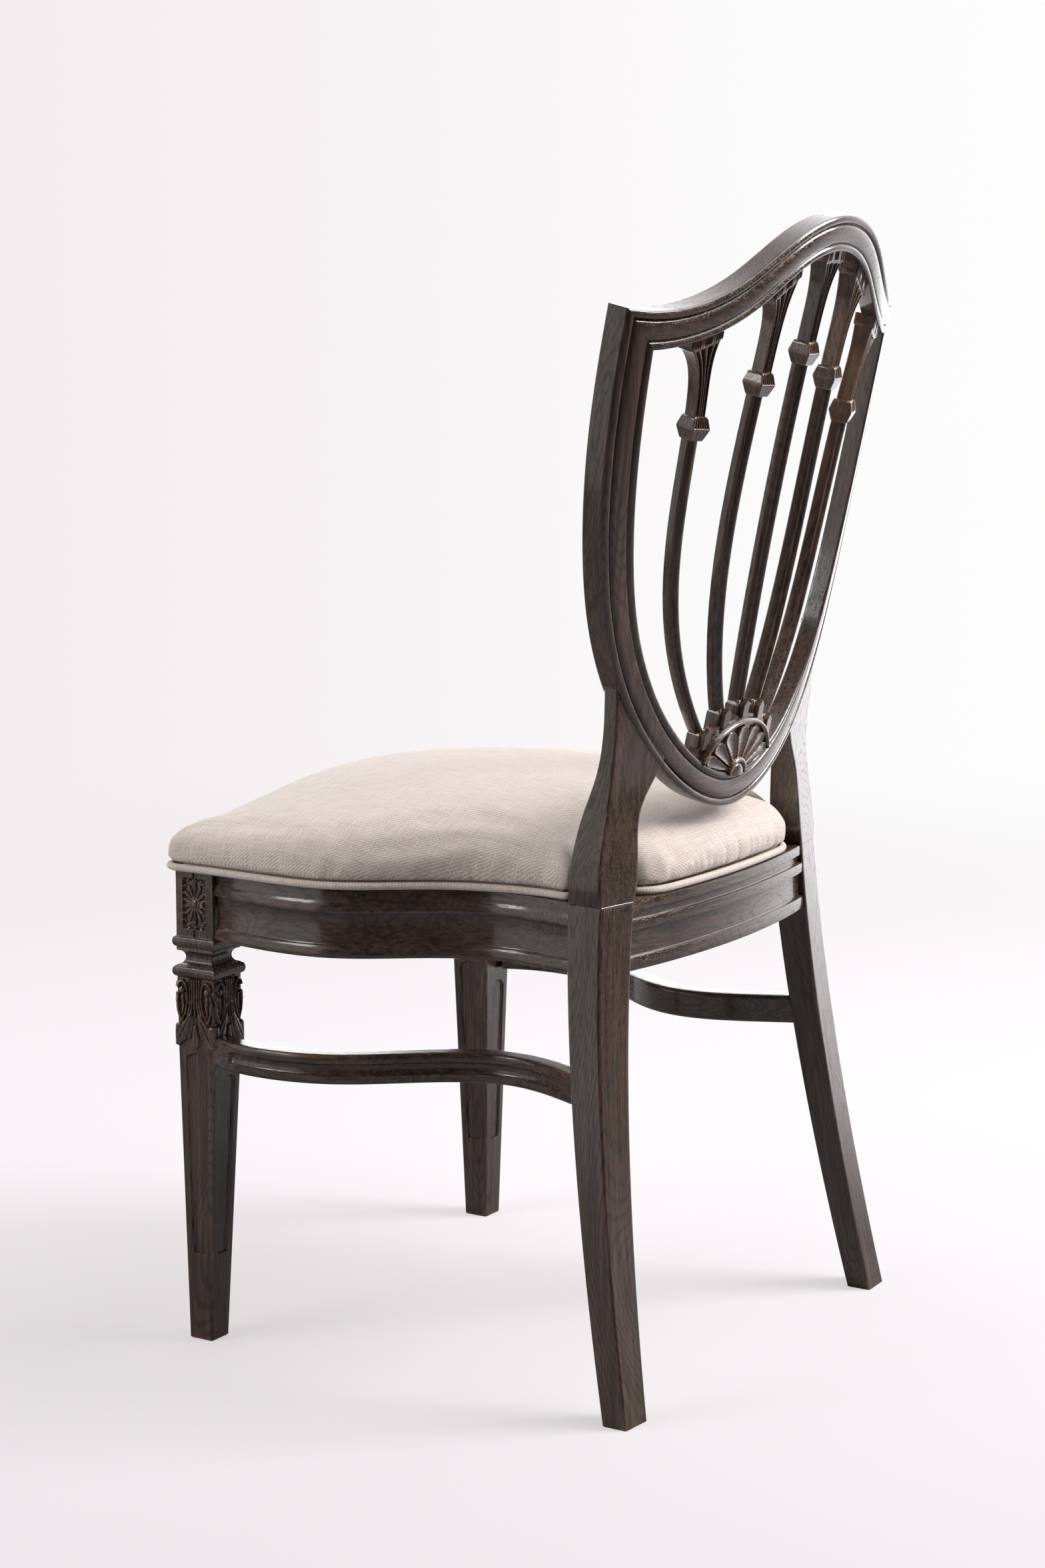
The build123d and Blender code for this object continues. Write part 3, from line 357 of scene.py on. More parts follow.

# %% [markdown]
# ## Tools for meshes
#
# Nearly every piece is a section carried along a line: a moulding along the shield, a rail along the
# seat, a leg along its height. So one helper takes rows of points, each row a closed section, and skins
# them. Another measures how proud or hollow each point is, from its neighbours, and keeps that for the
# rubbing group, which also paints shade into the hollows.


# %% Curves
def smooth_line(points, spans):
    """Points on the smooth curve through some points, with so many steps to each span."""
    points = np.array(points, float)
    steps = np.linalg.norm(np.diff(points, axis=0), axis=1)
    knots = np.concatenate([[0.0], np.cumsum(steps)])
    count = len(points)

    def end_slope(first):
        """Slope at an end, from the cubic through the four points there."""
        take = min(4, count)
        where = knots[:take] if first else knots[-take:]
        value = points[:take] if first else points[-take:]
        at = knots[0] if first else knots[-1]
        slope = np.zeros(points.shape[1])
        for i in range(take):
            part = 0.0
            for j in range(take):
                if j == i:
                    continue
                term = 1.0 / (where[i] - where[j])
                for k in range(take):
                    if k not in (i, j):
                        term *= (at - where[k]) / (where[i] - where[k])
                part += term
            slope += value[i] * part
        return slope

    table = np.eye(count)
    right = np.zeros_like(points)
    right[0] = end_slope(True)
    right[-1] = end_slope(False)
    for i in range(1, count - 1):
        before, after = steps[i - 1], steps[i]
        table[i, i - 1 : i + 2] = after, 2 * (before + after), before
        right[i] = 3 * (
            after * (points[i] - points[i - 1]) / before + before * (points[i + 1] - points[i]) / after
        )
    slopes = np.linalg.solve(table, right)
    rows = []
    for i in range(count - 1):
        for t in np.arange(spans) / spans:
            a, b = (1 + 2 * t) * (1 - t) ** 2, t * (1 - t) ** 2
            c, d = t * t * (3 - 2 * t), t * t * (t - 1)
            first = a * points[i] + b * steps[i] * slopes[i]
            rows.append(first + c * points[i + 1] + d * steps[i] * slopes[i + 1])
    rows.append(points[-1])
    return np.array(rows)


def evenly(line, count):
    """The same line with points at even distances."""
    line = np.asarray(line, float)
    run = np.concatenate([[0.0], np.cumsum(np.linalg.norm(np.diff(line, axis=0), axis=1))])
    at = np.linspace(0, run[-1], count)
    return np.stack([np.interp(at, run, line[:, k]) for k in range(line.shape[1])], axis=1)


def ramp(value, low, high):
    """0 below low, 1 above high, smooth between."""
    t = np.clip((np.asarray(value, float) - low) / (high - low), 0, 1)
    return t * t * (3 - 2 * t)


# %% Skins
def skin(rows, wrap=True, caps=True):
    """Points and faces of rows of points; wrap closes each row, caps closes the two ends."""
    rows = np.asarray(rows, float)
    high, wide = rows.shape[:2]
    index = np.arange(high * wide).reshape(high, wide)
    across = np.roll(index, -1, axis=1) if wrap else index[:, 1:]
    here = index if wrap else index[:, :-1]
    quads = np.stack([here[:-1], across[:-1], across[1:], here[1:]], axis=-1).reshape(-1, 4)
    faces = quads.tolist()
    if caps:
        faces.append(index[0][::-1].tolist())
        faces.append(index[-1].tolist())
    return rows.reshape(-1, 3), faces


def gather(*skins):
    """Several skins as one."""
    points, faces, start = [], [], 0
    for some_points, some_faces in skins:
        points.append(some_points)
        faces += [[corner + start for corner in face] for face in some_faces]
        start += len(some_points)
    return np.concatenate(points), faces


def mirror_skin(points, faces):
    """The same skin on the other side of the chair."""
    return points * (-1, 1, 1), [face[::-1] for face in faces]


# %% Attributes
rub_reach, rub_limit = 0.0011, 0.62
weld_distance = 1e-6


def mesh_points(mesh):
    """The places of a mesh's points."""
    places = np.empty(len(mesh.vertices) * 3)
    mesh.vertices.foreach_get("co", places)
    return places.reshape(-1, 3)


def mesh_edges(mesh):
    """The numbers of the first and second points of a mesh's edges."""
    ends = np.empty(len(mesh.edges) * 2, int)
    mesh.edges.foreach_get("vertices", ends)
    return ends.reshape(-1, 2).T


def measure_rub(mesh, rounds):
    """How proud each point is: 0 in a hollow, a half on a flat, 1 on an edge."""
    count = len(mesh.vertices)
    co = mesh_points(mesh)
    normal = np.empty(count * 3)
    mesh.vertices.foreach_get("normal", normal)
    normal = normal.reshape(-1, 3)
    a, b = mesh_edges(mesh)
    step = co[b] - co[a]
    length = np.maximum(np.linalg.norm(step, axis=1), 1e-6)
    weight = np.bincount(a, length, count) + np.bincount(b, length, count)
    fall = np.bincount(a, -(normal[a] * step).sum(1) / length, count)
    fall += np.bincount(b, (normal[b] * step).sum(1) / length, count)
    bend = 2 * fall / np.maximum(weight, 1e-6)
    value = np.clip(bend * rub_reach, -rub_limit, rub_limit)
    links = np.bincount(a, minlength=count) + np.bincount(b, minlength=count)
    for _ in range(rounds):
        near = np.bincount(a, value[b], count) + np.bincount(b, value[a], count)
        value = 0.45 * value + 0.55 * near / np.maximum(links, 1)
    return np.clip(0.5 + value, 0, 1)


def make_piece(name, shape, material, along=None, nodes=(), rounds=3, crease=38):
    """A finished mesh piece that rides on the chair and stands for its CAD nodes."""
    points, faces = shape
    mesh = bpy.data.meshes.new(name)
    mesh.from_pydata(points.tolist(), [], faces)
    mesh.validate()
    solid = bmesh.new()
    solid.from_mesh(mesh)
    bmesh.ops.remove_doubles(solid, verts=solid.verts, dist=weld_distance)
    bmesh.ops.recalc_face_normals(solid, faces=solid.faces)
    solid.to_mesh(mesh)
    solid.free()
    mesh.update()
    points = mesh_points(mesh)
    mesh.polygons.foreach_set("use_smooth", np.ones(len(mesh.polygons), bool))
    mesh.set_sharp_from_angle(angle=math.radians(crease))
    rub = mesh.attributes.new("rub", "FLOAT", "POINT")
    rub.data.foreach_set("value", measure_rub(mesh, rounds).astype(np.float32))
    if along is not None:
        along = np.array(along, float) / np.linalg.norm(along)
        side = np.cross(along, (0, 0, 1) if abs(along[2]) < 0.8 else (0, 1, 0))
        side /= np.linalg.norm(side)
        third = np.cross(along, side)
        seed = zlib.crc32(name.encode()) % 997 / 50.0
        place = np.stack([points @ along, points @ side, points @ third], axis=1) + seed
        grain = mesh.attributes.new("grain", "FLOAT_VECTOR", "POINT")
        grain.data.foreach_set("vector", place.astype(np.float32).ravel())
    mesh.materials.append(material)
    piece = bpy.data.objects.new(name, mesh)
    bpy.context.scene.collection.objects.link(piece)
    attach(piece, "root")
    if nodes:
        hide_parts(*nodes)
    print(name, len(mesh.vertices), "points")
    return piece


def make_pair(node, kind, shape, along):
    """An oak piece on the left and its mirror image on the right."""
    along = np.array(along, float)
    for side, half, way in (("left", shape, along), ("right", mirror_skin(*shape), along * (-1, 1, 1))):
        make_piece(f"{node}_{side}_{kind}", half, dark_oak, way, [f"{node}_{side}"])


# %% [markdown]
# ## The shield
#
# The back is a flat drawing bent round a wide curve and leant back. Every point of it is given as a
# distance from the middle, a height up the lean and a depth below the rear face. The frame is one
# moulding: a roll at the outer edge, a groove, a broad soft band, a groove and a thin inner roll. A bevel
# modifier can't draw that, so the section is written point by point and carried along the outline, drawn
# in by each point's distance from the edge. The corners then mitre by themselves.

# %% Shield outline
leg_low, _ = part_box("front_leg_left")
collar_front = -249.25 * mm
shift_y = leg_low.y - collar_front
lean = math.radians(12.0)
foot_y, foot_height = 179.0, 492.0
shield_foot = np.array((0, foot_y * mm + shift_y, foot_height * mm))
shield_up = np.array((0, math.sin(lean), math.cos(lean)))
shield_rear = np.array((0, math.cos(lean), -math.sin(lean)))
bow_radius = 505.0
frame_width = 31.0
frame_depth = 21.0
shield_corner = (236, 434)
shield_crest = [(66, 502.5), (121, 466), (170, 442)]
shield_peak = (0, 519.5)
shield_side = [(233, 335), (220, 236), (187, 134), (139.4, 67.2), (84, 24)]
shield_base = (0, -1)
span_steps = 16


def sagitta(x):
    """How far the bent back comes forward, in millimetres."""
    return bow_radius - np.sqrt(bow_radius**2 - np.asarray(x, float) ** 2)


def on_back(x, up, depth):
    """Places on the back from millimetres across, up and below the rear face."""
    x, up, depth = np.broadcast_arrays(np.asarray(x, float), up, depth)
    across = x[..., None] * np.array((1, 0, 0))
    rise = up[..., None] * shield_up
    back = (sagitta(x) + depth)[..., None] * shield_rear
    return shield_foot + mm * (across + rise - back)


def flip(points):
    """Points of the other half, in reverse order."""
    return [(-x, up) for x, up in reversed(points)]


def normals(points):
    """Unit normals on the right of the smooth line through some points."""
    points = np.array(points, float)
    steps = np.diff(points, axis=0)
    lengths = np.linalg.norm(steps, axis=1)
    slopes = steps / lengths[:, None]
    middle = slopes[:-1] * lengths[1:, None] + slopes[1:] * lengths[:-1, None]
    middle /= np.linalg.norm(middle, axis=1)[:, None]
    first = slopes[0] * 2 - middle[0]
    last = slopes[-1] * 2 - middle[-1]
    ways = np.vstack([first / np.linalg.norm(first), middle, last / np.linalg.norm(last)])
    return np.stack([ways[:, 1], -ways[:, 0]], axis=1)


left_corner = (-shield_corner[0], shield_corner[1])
crest_points = np.array([left_corner, *flip(shield_crest), shield_peak, *shield_crest, shield_corner], float)
side_points = np.array([shield_corner, *shield_side, shield_base, *flip(shield_side), left_corner], float)
crest_normals, side_normals = normals(crest_points), normals(side_points)


def corner_in(inset):
    """The shield's right corner, moved in along its mitre."""
    before, after = crest_normals[-1], side_normals[0]
    return np.array(shield_corner) + (before + after) * inset / (1 + before @ after)


def crest_line(inset):
    """The crest's edge from corner to corner, drawn in."""
    points = crest_points + crest_normals * inset
    points[-1] = corner_in(inset)
    points[0] = points[-1] * (-1, 1)
    return smooth_line(points, span_steps)


def side_line(inset):
    """The edge from the right corner down round the base and up to the left corner, drawn in."""
    points = side_points + side_normals * inset
    points[0] = corner_in(inset)
    points[-1] = points[0] * (-1, 1)
    return smooth_line(points, span_steps)


print("shield shift", round(shift_y / mm, 3), "mm")


# %% Shield moulding
def roll(start, end, foot, height, steps=9):
    """Points over a round bead between two distances; foot is its depth at the sides."""
    turn = np.linspace(0, math.pi, steps)
    middle, half = (start + end) / 2, (end - start) / 2
    return [(middle - half * math.cos(t), foot - height * math.sin(t)) for t in turn]


band_shape = [
    (8.4, 2.7), (8.8, 1.8), (9.8, 1.1), (11.5, 0.75), (14, 0.75), (17, 1.05), (20, 1.5), (22.4, 2.0),
    (23.3, 2.4), (23.7, 3.0),
]
rear_face = [
    (0, 3.4), *roll(0, 7, 2.4, 2.4), (7.25, 3.3), (7.8, 3.7), *band_shape, (24.2, 3.9),
    *roll(24.9, 31, 3.4, 2.1, 8), (31, 4.4),
]
front_face = [(inset, frame_depth - depth * 0.8) for inset, depth in reversed(rear_face)]
frame_section = rear_face + front_face


def moulded(line_maker, first, last):
    """The frame's section carried along part of the outline."""
    columns = []
    for inset, depth in frame_section:
        line = line_maker(inset)[first:last]
        columns.append(on_back(line[:, 0], line[:, 1], depth))
    return np.stack(columns, axis=1)


bow_cut = 4 * span_steps + 8
side_rows = len(side_line(0))
crest_shape = skin(moulded(crest_line, 0, None))
make_piece("crest_rail_moulded", crest_shape, dark_oak, (1, 0, 0), ["crest_rail"])
bow_shape = skin(moulded(side_line, bow_cut, side_rows - bow_cut))
make_piece("shield_bow_moulded", bow_shape, dark_oak, (1, 0, 0), ["shield_bow"])

# %% [markdown]
# ## Stiles and posts
#
# Each stile is one timber: it carries the side of the shield and runs down as a post to the seat. The
# post's section changes all the way, so a few measured sections are joined by smooth curves. Where it
# meets the shield, its inner edge follows the moulding and stays hidden under it.


# %% Posts and stiles
def round_quad(corners, radius, steps=4):
    """A four-sided section with round corners, in the order of its corners."""
    corners = np.asarray(corners, float)
    loop = []
    for i in range(4):
        here = corners[i]
        back = corners[i - 1] - here
        on = corners[(i + 1) % 4] - here
        back = back / np.linalg.norm(back)
        on = on / np.linalg.norm(on)
        half = math.acos(np.clip(back @ on, -1, 1)) / 2
        reach = radius / math.tan(half)
        start, end = here + back * reach, here + on * reach
        loop.append(start + back * radius * 0.4)
        for t in np.linspace(0, 1, steps):
            loop.append((1 - t) ** 2 * start + 2 * t * (1 - t) * here + t * t * end)
        loop.append(end + on * radius * 0.4)
    return np.array(loop)


def level_row(loop, height):
    """A section in millimetres as places at one height."""
    high = np.full(len(loop), height * mm)
    return np.column_stack([loop[:, 0] * mm, loop[:, 1] * mm + shift_y, high])


rail_top = 431.0
end_ease = 0.45 * mm
leg_turn = math.tan(math.radians(12.0))
post_sections = np.array([
    (0, 192, 150.5, 129, 162),
    (44, 188.5, 143.5, 131, 160.5),
    (74, 180, 138.5, 135, 160.5),
    (100, 176, 122, 143, 161.5),
    (135, 175.5, 105, 151, 165.5),
    (184, 177.2, 110, 154.3, 168.6),
    (206, 178, 130, 154.5, 168.6),
], float)
post_edge = 2.2
hidden_inset = 14.0
hidden_line = side_line(hidden_inset)[: 6 * span_steps]


def post_rows():
    """Sections of the left post, bottom to top."""
    fine = smooth_line(post_sections, 10)
    rows = []
    for rise, outer, inner, front, back in fine:
        height = rail_top + rise
        up = (height - foot_height) / math.cos(lean)
        covered = np.interp(up, hidden_line[::-1, 1], hidden_line[::-1, 0], left=0)
        inner = min(max(inner, covered), outer - 9)
        lean_in = (outer - inner) * leg_turn
        quad = [(outer, back), (inner, back + lean_in), (inner, front + lean_in), (outer, front)]
        rows.append(level_row(round_quad(quad, post_edge), height))
    return eased_ends(np.array(rows), end_ease, False)


def eased_ends(rows, ease, both=True):
    """Rows with their first, and perhaps last, section drawn in a little, for a soft end."""
    def drawn(row):
        middle = row.mean(axis=0)
        return middle + (row - middle) * (1 - ease / np.abs(row - middle).max())

    def nudged(row, beside):
        step = beside - row
        return row + step * min(1, ease / np.linalg.norm(step, axis=1).mean())

    parts = [drawn(rows[0])[None], nudged(rows[0], rows[1])[None], rows[1:]]
    if both:
        parts[2:] = [rows[1:-1], nudged(rows[-1], rows[-2])[None], drawn(rows[-1])[None]]
    return np.concatenate(parts)


stile_shape = gather(skin(moulded(side_line, 0, bow_cut + 1)), skin(post_rows()[:, ::-1]))
stile_way = on_back(205, 420, 10) - on_back(170, 60, 10)
make_pair("back_stile", "moulded", stile_shape, stile_way)

# %% [markdown]
# ## Rear legs
#
# The rear legs are sabre legs, square in section, that sweep back and out. Their corners follow two power
# curves, as the solids do, with a soft edge all along.

# %% Rear legs
rear_outer, rear_back = 192.0, 162.0
rear_top_size, rear_foot_size = (41.5, 33.0), (32.0, 23.5)
rear_sweep, rear_splay = (55.0, 1.6), (48.0, 0.95)
rear_turns = (12.0, 3.5)
leg_edge = 2.0


def rear_leg_rows(count=48):
    """Sections of the left rear leg, bottom to top."""
    rows = []
    for height in np.linspace(0, rail_top - 0.1, count):
        down = 1 - height / rail_top
        outer = rear_outer + rear_splay[0] * down ** rear_splay[1]
        back = rear_back + rear_sweep[0] * down ** rear_sweep[1]
        width = rear_top_size[0] + (rear_foot_size[0] - rear_top_size[0]) * down
        depth = rear_top_size[1] + (rear_foot_size[1] - rear_top_size[1]) * down
        turn = math.tan(math.radians(rear_turns[0] + (rear_turns[1] - rear_turns[0]) * down))
        inner, inner_back = outer - width, back + width * turn
        quad = [(outer, back), (inner, inner_back), (inner, inner_back - depth), (outer, back - depth)]
        rows.append(level_row(round_quad(quad, leg_edge), height))
    return eased_ends(np.array(rows), end_ease)


make_pair("rear_leg", "sabre", skin(rear_leg_rows()[:, ::-1]), (0.11, 0.10, -1))

# %% [markdown]
# ## Seat rails and stretchers
#
# The rails are sawn to a serpentine plan. On their face lie a plain strip, a bead, a sunk field and a
# second bead. The rear rail has a section of its own, with a narrow groove under its top strip. As with
# the shield, the section is carried along the plan. The stretchers below repeat the curve and carry a
# flute that stops short of both ends, which is a dip in their outer face.

# %% Rails
rail_thickness, cross_thickness = 28.0, 24.0
rail_bottom = 371.0
rail_face = [
    (-1.2, 0), (-0.3, 0.3), (0, 1.2), (0, 3.6), (-0.2, 5.6), (-0.7, 7.6), (-1.5, 9.4), (-2.5, 10.8),
    (-3.7, 11.7), (-4.0, 12.6), (-4.0, 37.2), (-3.9, 38.4), (-2.6, 38.8), (-0.9, 39.1), (-0.2, 39.7),
    (0, 40.6), (0, 42.2), (-0.2, 44.2), (-0.7, 46.2), (-1.5, 48.0), (-2.4, 49.3), (-2.9, 50.4),
    (-2.9, 58.6), (-3.3, 59.6), (-4.2, 60),
]
rear_rail_face = [
    (-1.2, 0), (-0.3, 0.3), (0, 1.2), (0, 10.2), (-0.3, 11.2), (-1.2, 11.8), (-3.4, 12), (-4, 12.6),
    (-4, 33.4), (-3.8, 34), (-0.8, 34.2), (-0.2, 34.6), (0, 35.4), (0, 41.9), (-0.3, 42.9), (-1.2, 43.5),
    (-3.6, 43.7), (-4.2, 44.3), (-4.2, 49.1), (-3.9, 49.9), (-2.2, 50.3), (-1.4, 50.9), (-1.2, 51.9),
    (-1.2, 58.3), (-1.6, 59.5), (-2.6, 60),
]


def rail_section(thickness, face, ease=0.6):
    """Closed section of a rail as (distance out, height), with a plain back."""
    top, back = face[-1][1], -thickness
    return [(back, ease), (back + ease, 0), *face, (back + ease, top), (back, top - ease)]


def along_plan(plan, section, bottom, dip=None):
    """A section carried along a plan line; out lies on the line's right hand."""
    plan = np.asarray(plan, float)
    way = np.gradient(plan, axis=0)
    way /= np.linalg.norm(way, axis=1)[:, None]
    out = np.stack([way[:, 1], -way[:, 0]], axis=1)
    section = np.asarray(section, float)
    reach = section[None, :, 0] * np.ones((len(plan), 1))
    if dip is not None:
        reach = reach - dip(plan, section)
    flat = plan[:, None, :] + out[:, None, :] * reach[..., None]
    high = np.broadcast_to(section[None, :, 1] + bottom, reach.shape)
    return np.stack([flat[..., 0] * mm, flat[..., 1] * mm + shift_y, high * mm], axis=-1)


side_plan = [(241, -205), (254.5, -140), (248, -72), (202, 0.5), (181, 58), (189.5, 129), (190.5, 141)]
side_rail_line = evenly(smooth_line(side_plan, 20), 110)
side_rail_rows = along_plan(side_rail_line, rail_section(rail_thickness, rail_face), rail_bottom)
make_pair("side_rail", "moulded", skin(side_rail_rows), (-0.15, 1, 0))


def bowed(half, face_y, radius, forward, count=60):
    """Plan of a bowed cross rail."""
    x = np.linspace(-half, half, count)
    y = face_y + forward * (radius - np.sqrt(radius**2 - x**2))
    return np.stack([x, y], axis=1)


front_half, front_rise, front_face_y = 204.0, 8.0, -241.0
front_radius = (front_half**2 + front_rise**2) / (2 * front_rise)
front_plan = bowed(front_half, front_face_y - front_rise, front_radius, 1)
rear_half, rear_face_y, rear_radius = 172.0, 185.0, 790.0
rear_plan = bowed(rear_half, rear_face_y, rear_radius, -1)[::-1]
for name, line, face in (("front_rail", front_plan, rail_face), ("rear_rail", rear_plan, rear_rail_face)):
    cross_rail = skin(along_plan(line, rail_section(cross_thickness, face), rail_bottom))
    make_piece(f"{name}_moulded", cross_rail, dark_oak, (1, 0, 0), [name])

# %% Stretchers
stretcher_plan = [(241, -209), (254.5, -150), (239, -80), (187, -10), (162, 42), (187.5, 131), (196, 150)]
stretcher_bottom, stretcher_height, stretcher_thickness = 256.0, 26.5, 20.0
flute_ends, flute_height, flute_depth = (-185.0, 118.0), 11.0, 3.4


def stretcher_section():
    """Closed section of a stretcher with soft edges and many points on its outer face."""
    high, back = stretcher_height, -stretcher_thickness
    quad = round_quad([(0, 0), (0, high), (back, high), (back, 0)], 3.8, 7)
    start = np.argmin(np.abs(quad[:, 0]) + np.abs(quad[:, 1] - 6))
    quad = np.roll(quad, -start - 1, axis=0)
    face = [(0, height) for height in np.linspace(5.6, high - 5.6, 30)]
    rest = [point for point in quad.tolist() if not (point[0] > -1e-6 and 5 < point[1] < 21)]
    return np.array(face + rest)


def flute_dip(plan, section):
    """How far the outer face is hollowed, along the plan and up the section."""
    centre = stretcher_height / 2
    y = np.clip(plan[:, None, 1], flute_ends[0] + flute_height / 2, flute_ends[1] - flute_height / 2)
    off = np.hypot(plan[:, None, 1] - y, section[None, :, 1] - centre)
    inside = np.clip(1 - (off / (flute_height / 2)) ** 2, 0, 1)
    on_face = section[None, :, 0] > -0.5
    return flute_depth * inside**0.4 * on_face


stretcher_line = evenly(smooth_line(stretcher_plan, 30), 260)
stretcher_rows = along_plan(stretcher_line, stretcher_section(), stretcher_bottom, flute_dip)
make_pair("side_stretcher", "fluted", skin(stretcher_rows), (-0.15, 1, 0))

# %% [markdown]
# ## Splats
#
# Five splats stand between the fan and the crest, bowed forward a little. Each has a foot with a pointed
# tab, a bar with a round rib along its rear, a knop with flutes, and a flared capital with reeds under a
# small ribbed cap. Every part is a skin of sections in the splat's own measures: up the shield, across
# the bar and out to the rear. The caps follow the slope of the crest above them.

# %% Splat measures
splat_lines = {
    "outer": [(55, 67), (105, 145), (130, 255), (150, 420)],
    "inner": [(30, 84), (58.5, 190), (64, 320), (66, 470)],
    "centre": [(0, 88), (0, 200), (0, 330), (0, 486)],
}
knop_heights = {"outer": 337.0, "inner": 374.0, "centre": 399.0}
bar_depth, splat_set_back, splat_bow = 13.0, 8.0, 5.0
cap_thickness = 9.0
soffit = crest_line(frame_width)
cap_under = crest_line(frame_width + cap_thickness)


def through(line, up):
    """Distance across of the smooth curve through four points, at heights up the shield."""
    total = 0.0
    for x, height in line:
        weight = 1.0
        for _, other in line:
            if other != height:
                weight = weight * (up - other) / (height - other)
        total = total + x * weight
    return total


def on_splat(line, up, across, out, at=None):
    """Places on a splat; at gives the height that sets its line, where that isn't up itself."""
    up, across, out = np.broadcast_arrays(np.asarray(up, float), across, out)
    at = up if at is None else np.full(up.shape, float(at))
    foot, head = line[0][1], line[-1][1]
    x = through(line, at)
    share = (at - foot) / (head - foot)
    depth = splat_set_back + splat_bow * 4 * share * (1 - share)
    turn = -np.arcsin(x / bow_radius)
    sideways = x + across * np.cos(turn) - out * np.sin(turn)
    backward = -sagitta(x) - depth + across * np.sin(turn) + out * np.cos(turn)
    place = sideways[..., None] * np.array((1, 0, 0)) + up[..., None] * shield_up
    return shield_foot + mm * (place + backward[..., None] * shield_rear)


print("soffit", [round(v) for v in soffit[len(soffit) // 2]])

# %% Splat parts
half_bar = [
    (6, -12.2), (6, -5.2), (5.5, -4.3), (3.6, -3.8), (2.9, -3.0), (2.5, -1.6), (1.7, -0.5), (0.7, -0.05),
]
bar_section = np.array([(-5.2, -13), (5.2, -13), *half_bar, *[(-x, y) for x, y in reversed(half_bar)]])


def bar_skin(line, top):
    """The ribbed bar from the foot to the knop."""
    up = np.linspace(line[0][1] - 4, top, 60)
    return skin(on_splat(line, up[:, None], bar_section[None, :, 0], bar_section[None, :, 1]))


knop_flutes = 6


def block_section(wide, deep, cut, columns=33):
    """A box section with cut corners; its rear face has many columns. Gives across, out and a rear mask."""
    rear = np.linspace(-wide / 2 + cut, wide / 2 - cut, columns)
    across = [*rear, wide / 2, wide / 2, wide / 2 - cut, -wide / 2 + cut, -wide / 2, -wide / 2]
    out = [*np.zeros(columns), -cut, -deep + cut, -deep, -deep, -deep + cut, -cut]
    mask = [*np.ones(columns), 0, 0, 0, 0, 0, 0]
    return np.array(across), np.array(out), np.array(mask)


def foot_skin(line):
    """The broader foot of a splat, with a soft shoulder."""
    foot = line[0][1]
    rows = []
    for rise, grow in ((-18, 0), (-0.5, 0), (0.5, -0.5), (4.7, -1.9), (5.1, -2.3)):
        across, out, _ = block_section(14.8 + 2 * grow, 14.6 + 2 * grow, 0.9)
        rows.append(on_splat(line, foot + rise, across, out + 0.6 + grow, foot))
    return skin(rows)


def tab_skin(line):
    """The pointed tab on the rear of the foot."""
    foot = line[0][1]
    half, low, shoulder, tip = 5.4, -12.0, 2.0, 7.5
    rows = []
    for out, inset in ((-0.5, 0), (2.7, 0), (3.4, 0.8)):
        wide = half - inset
        base, edge = low + inset, shoulder - inset * 0.4
        corners = [(-wide, base), (wide, base), (wide, edge), (0, tip - inset * 1.5), (-wide, edge)]
        rows.append(on_splat(line, [foot + up for _, up in corners], [x for x, _ in corners], out + 1, foot))
    return skin(rows)


def knop_skin(line, middle):
    """The knop: a block that swells to an edge at mid height, with flutes on its upper rear face."""
    rows = []
    steps = (
        (-10.4, 12.6), (-10.0, 14.0), (-9.2, 14.9), (-1.4, 20.2), (-0.5, 20.7), (0.5, 20.7), (1.4, 20.4),
        (9.0, 16.6), (9.9, 15.4), (10.4, 13.8),
    )
    for rise, size in smooth_steps(steps, 5):
        across, out, mask = block_section(size, size, 0.9, 81)
        flutes = 0.62 * (1 - np.cos(2 * math.pi * across / (size - 3) * knop_flutes)) * mask
        flutes = flutes * float(ramp(rise, 0.2, 1.4)) * (np.abs(across) < size / 2 - 1.5)
        rows.append(on_splat(line, middle + rise, across, out + (size - bar_depth) / 2 - flutes, middle))
    return skin(rows)


def smooth_steps(steps, count):
    """A broken line with more points on each of its lengths."""
    fine = []
    for (a, b), (c, d) in zip(steps, steps[1:]):
        for t in np.arange(count) / count:
            fine.append((a + (c - a) * t, b + (d - b) * t))
    fine.append(steps[-1])
    return fine


def ridge(value, middle, half):
    """A round ridge of height 1 over a line."""
    return np.sqrt(np.clip(1 - ((value - middle) / half) ** 2, 0, 1))


def capital_skin(line, low):
    """The flared capital; reeds run up its rear face and spread with it."""
    head = line[-1][1]
    rows = []
    for share in np.concatenate([np.linspace(0, 0.85, 46), np.linspace(0.86, 1, 16)]):
        wide = 12.4 + 17.5 * share**4.2
        deep = 13.2 + 3.4 * share**4.2
        across, out, mask = block_section(wide, deep, 0.9, 91)
        side = across / (wide / 2)
        spread = 0.34 + 0.26 * share**3
        reeds = ridge(side, 0, 0.14)
        for place in (spread, -spread):
            reeds = np.maximum(reeds, ridge(side, place, 0.12))
        border = ramp(np.abs(side), 0.80, 0.86)
        carve = 3.0 * (1 - np.maximum(reeds, border)) * ramp(share, 0.0, 0.06)
        carve = carve * (1 - ramp(share, 0.93, 0.97))
        x = through(line, head) + across
        top = np.interp(x, cap_under[:, 0], cap_under[:, 1]) + 1
        up = low + (top - low) * share
        rear = out + (deep - bar_depth) / 2 - carve * mask
        rows.append(on_splat(line, up, across, rear, low + (head - low) * share))
    return skin(rows)


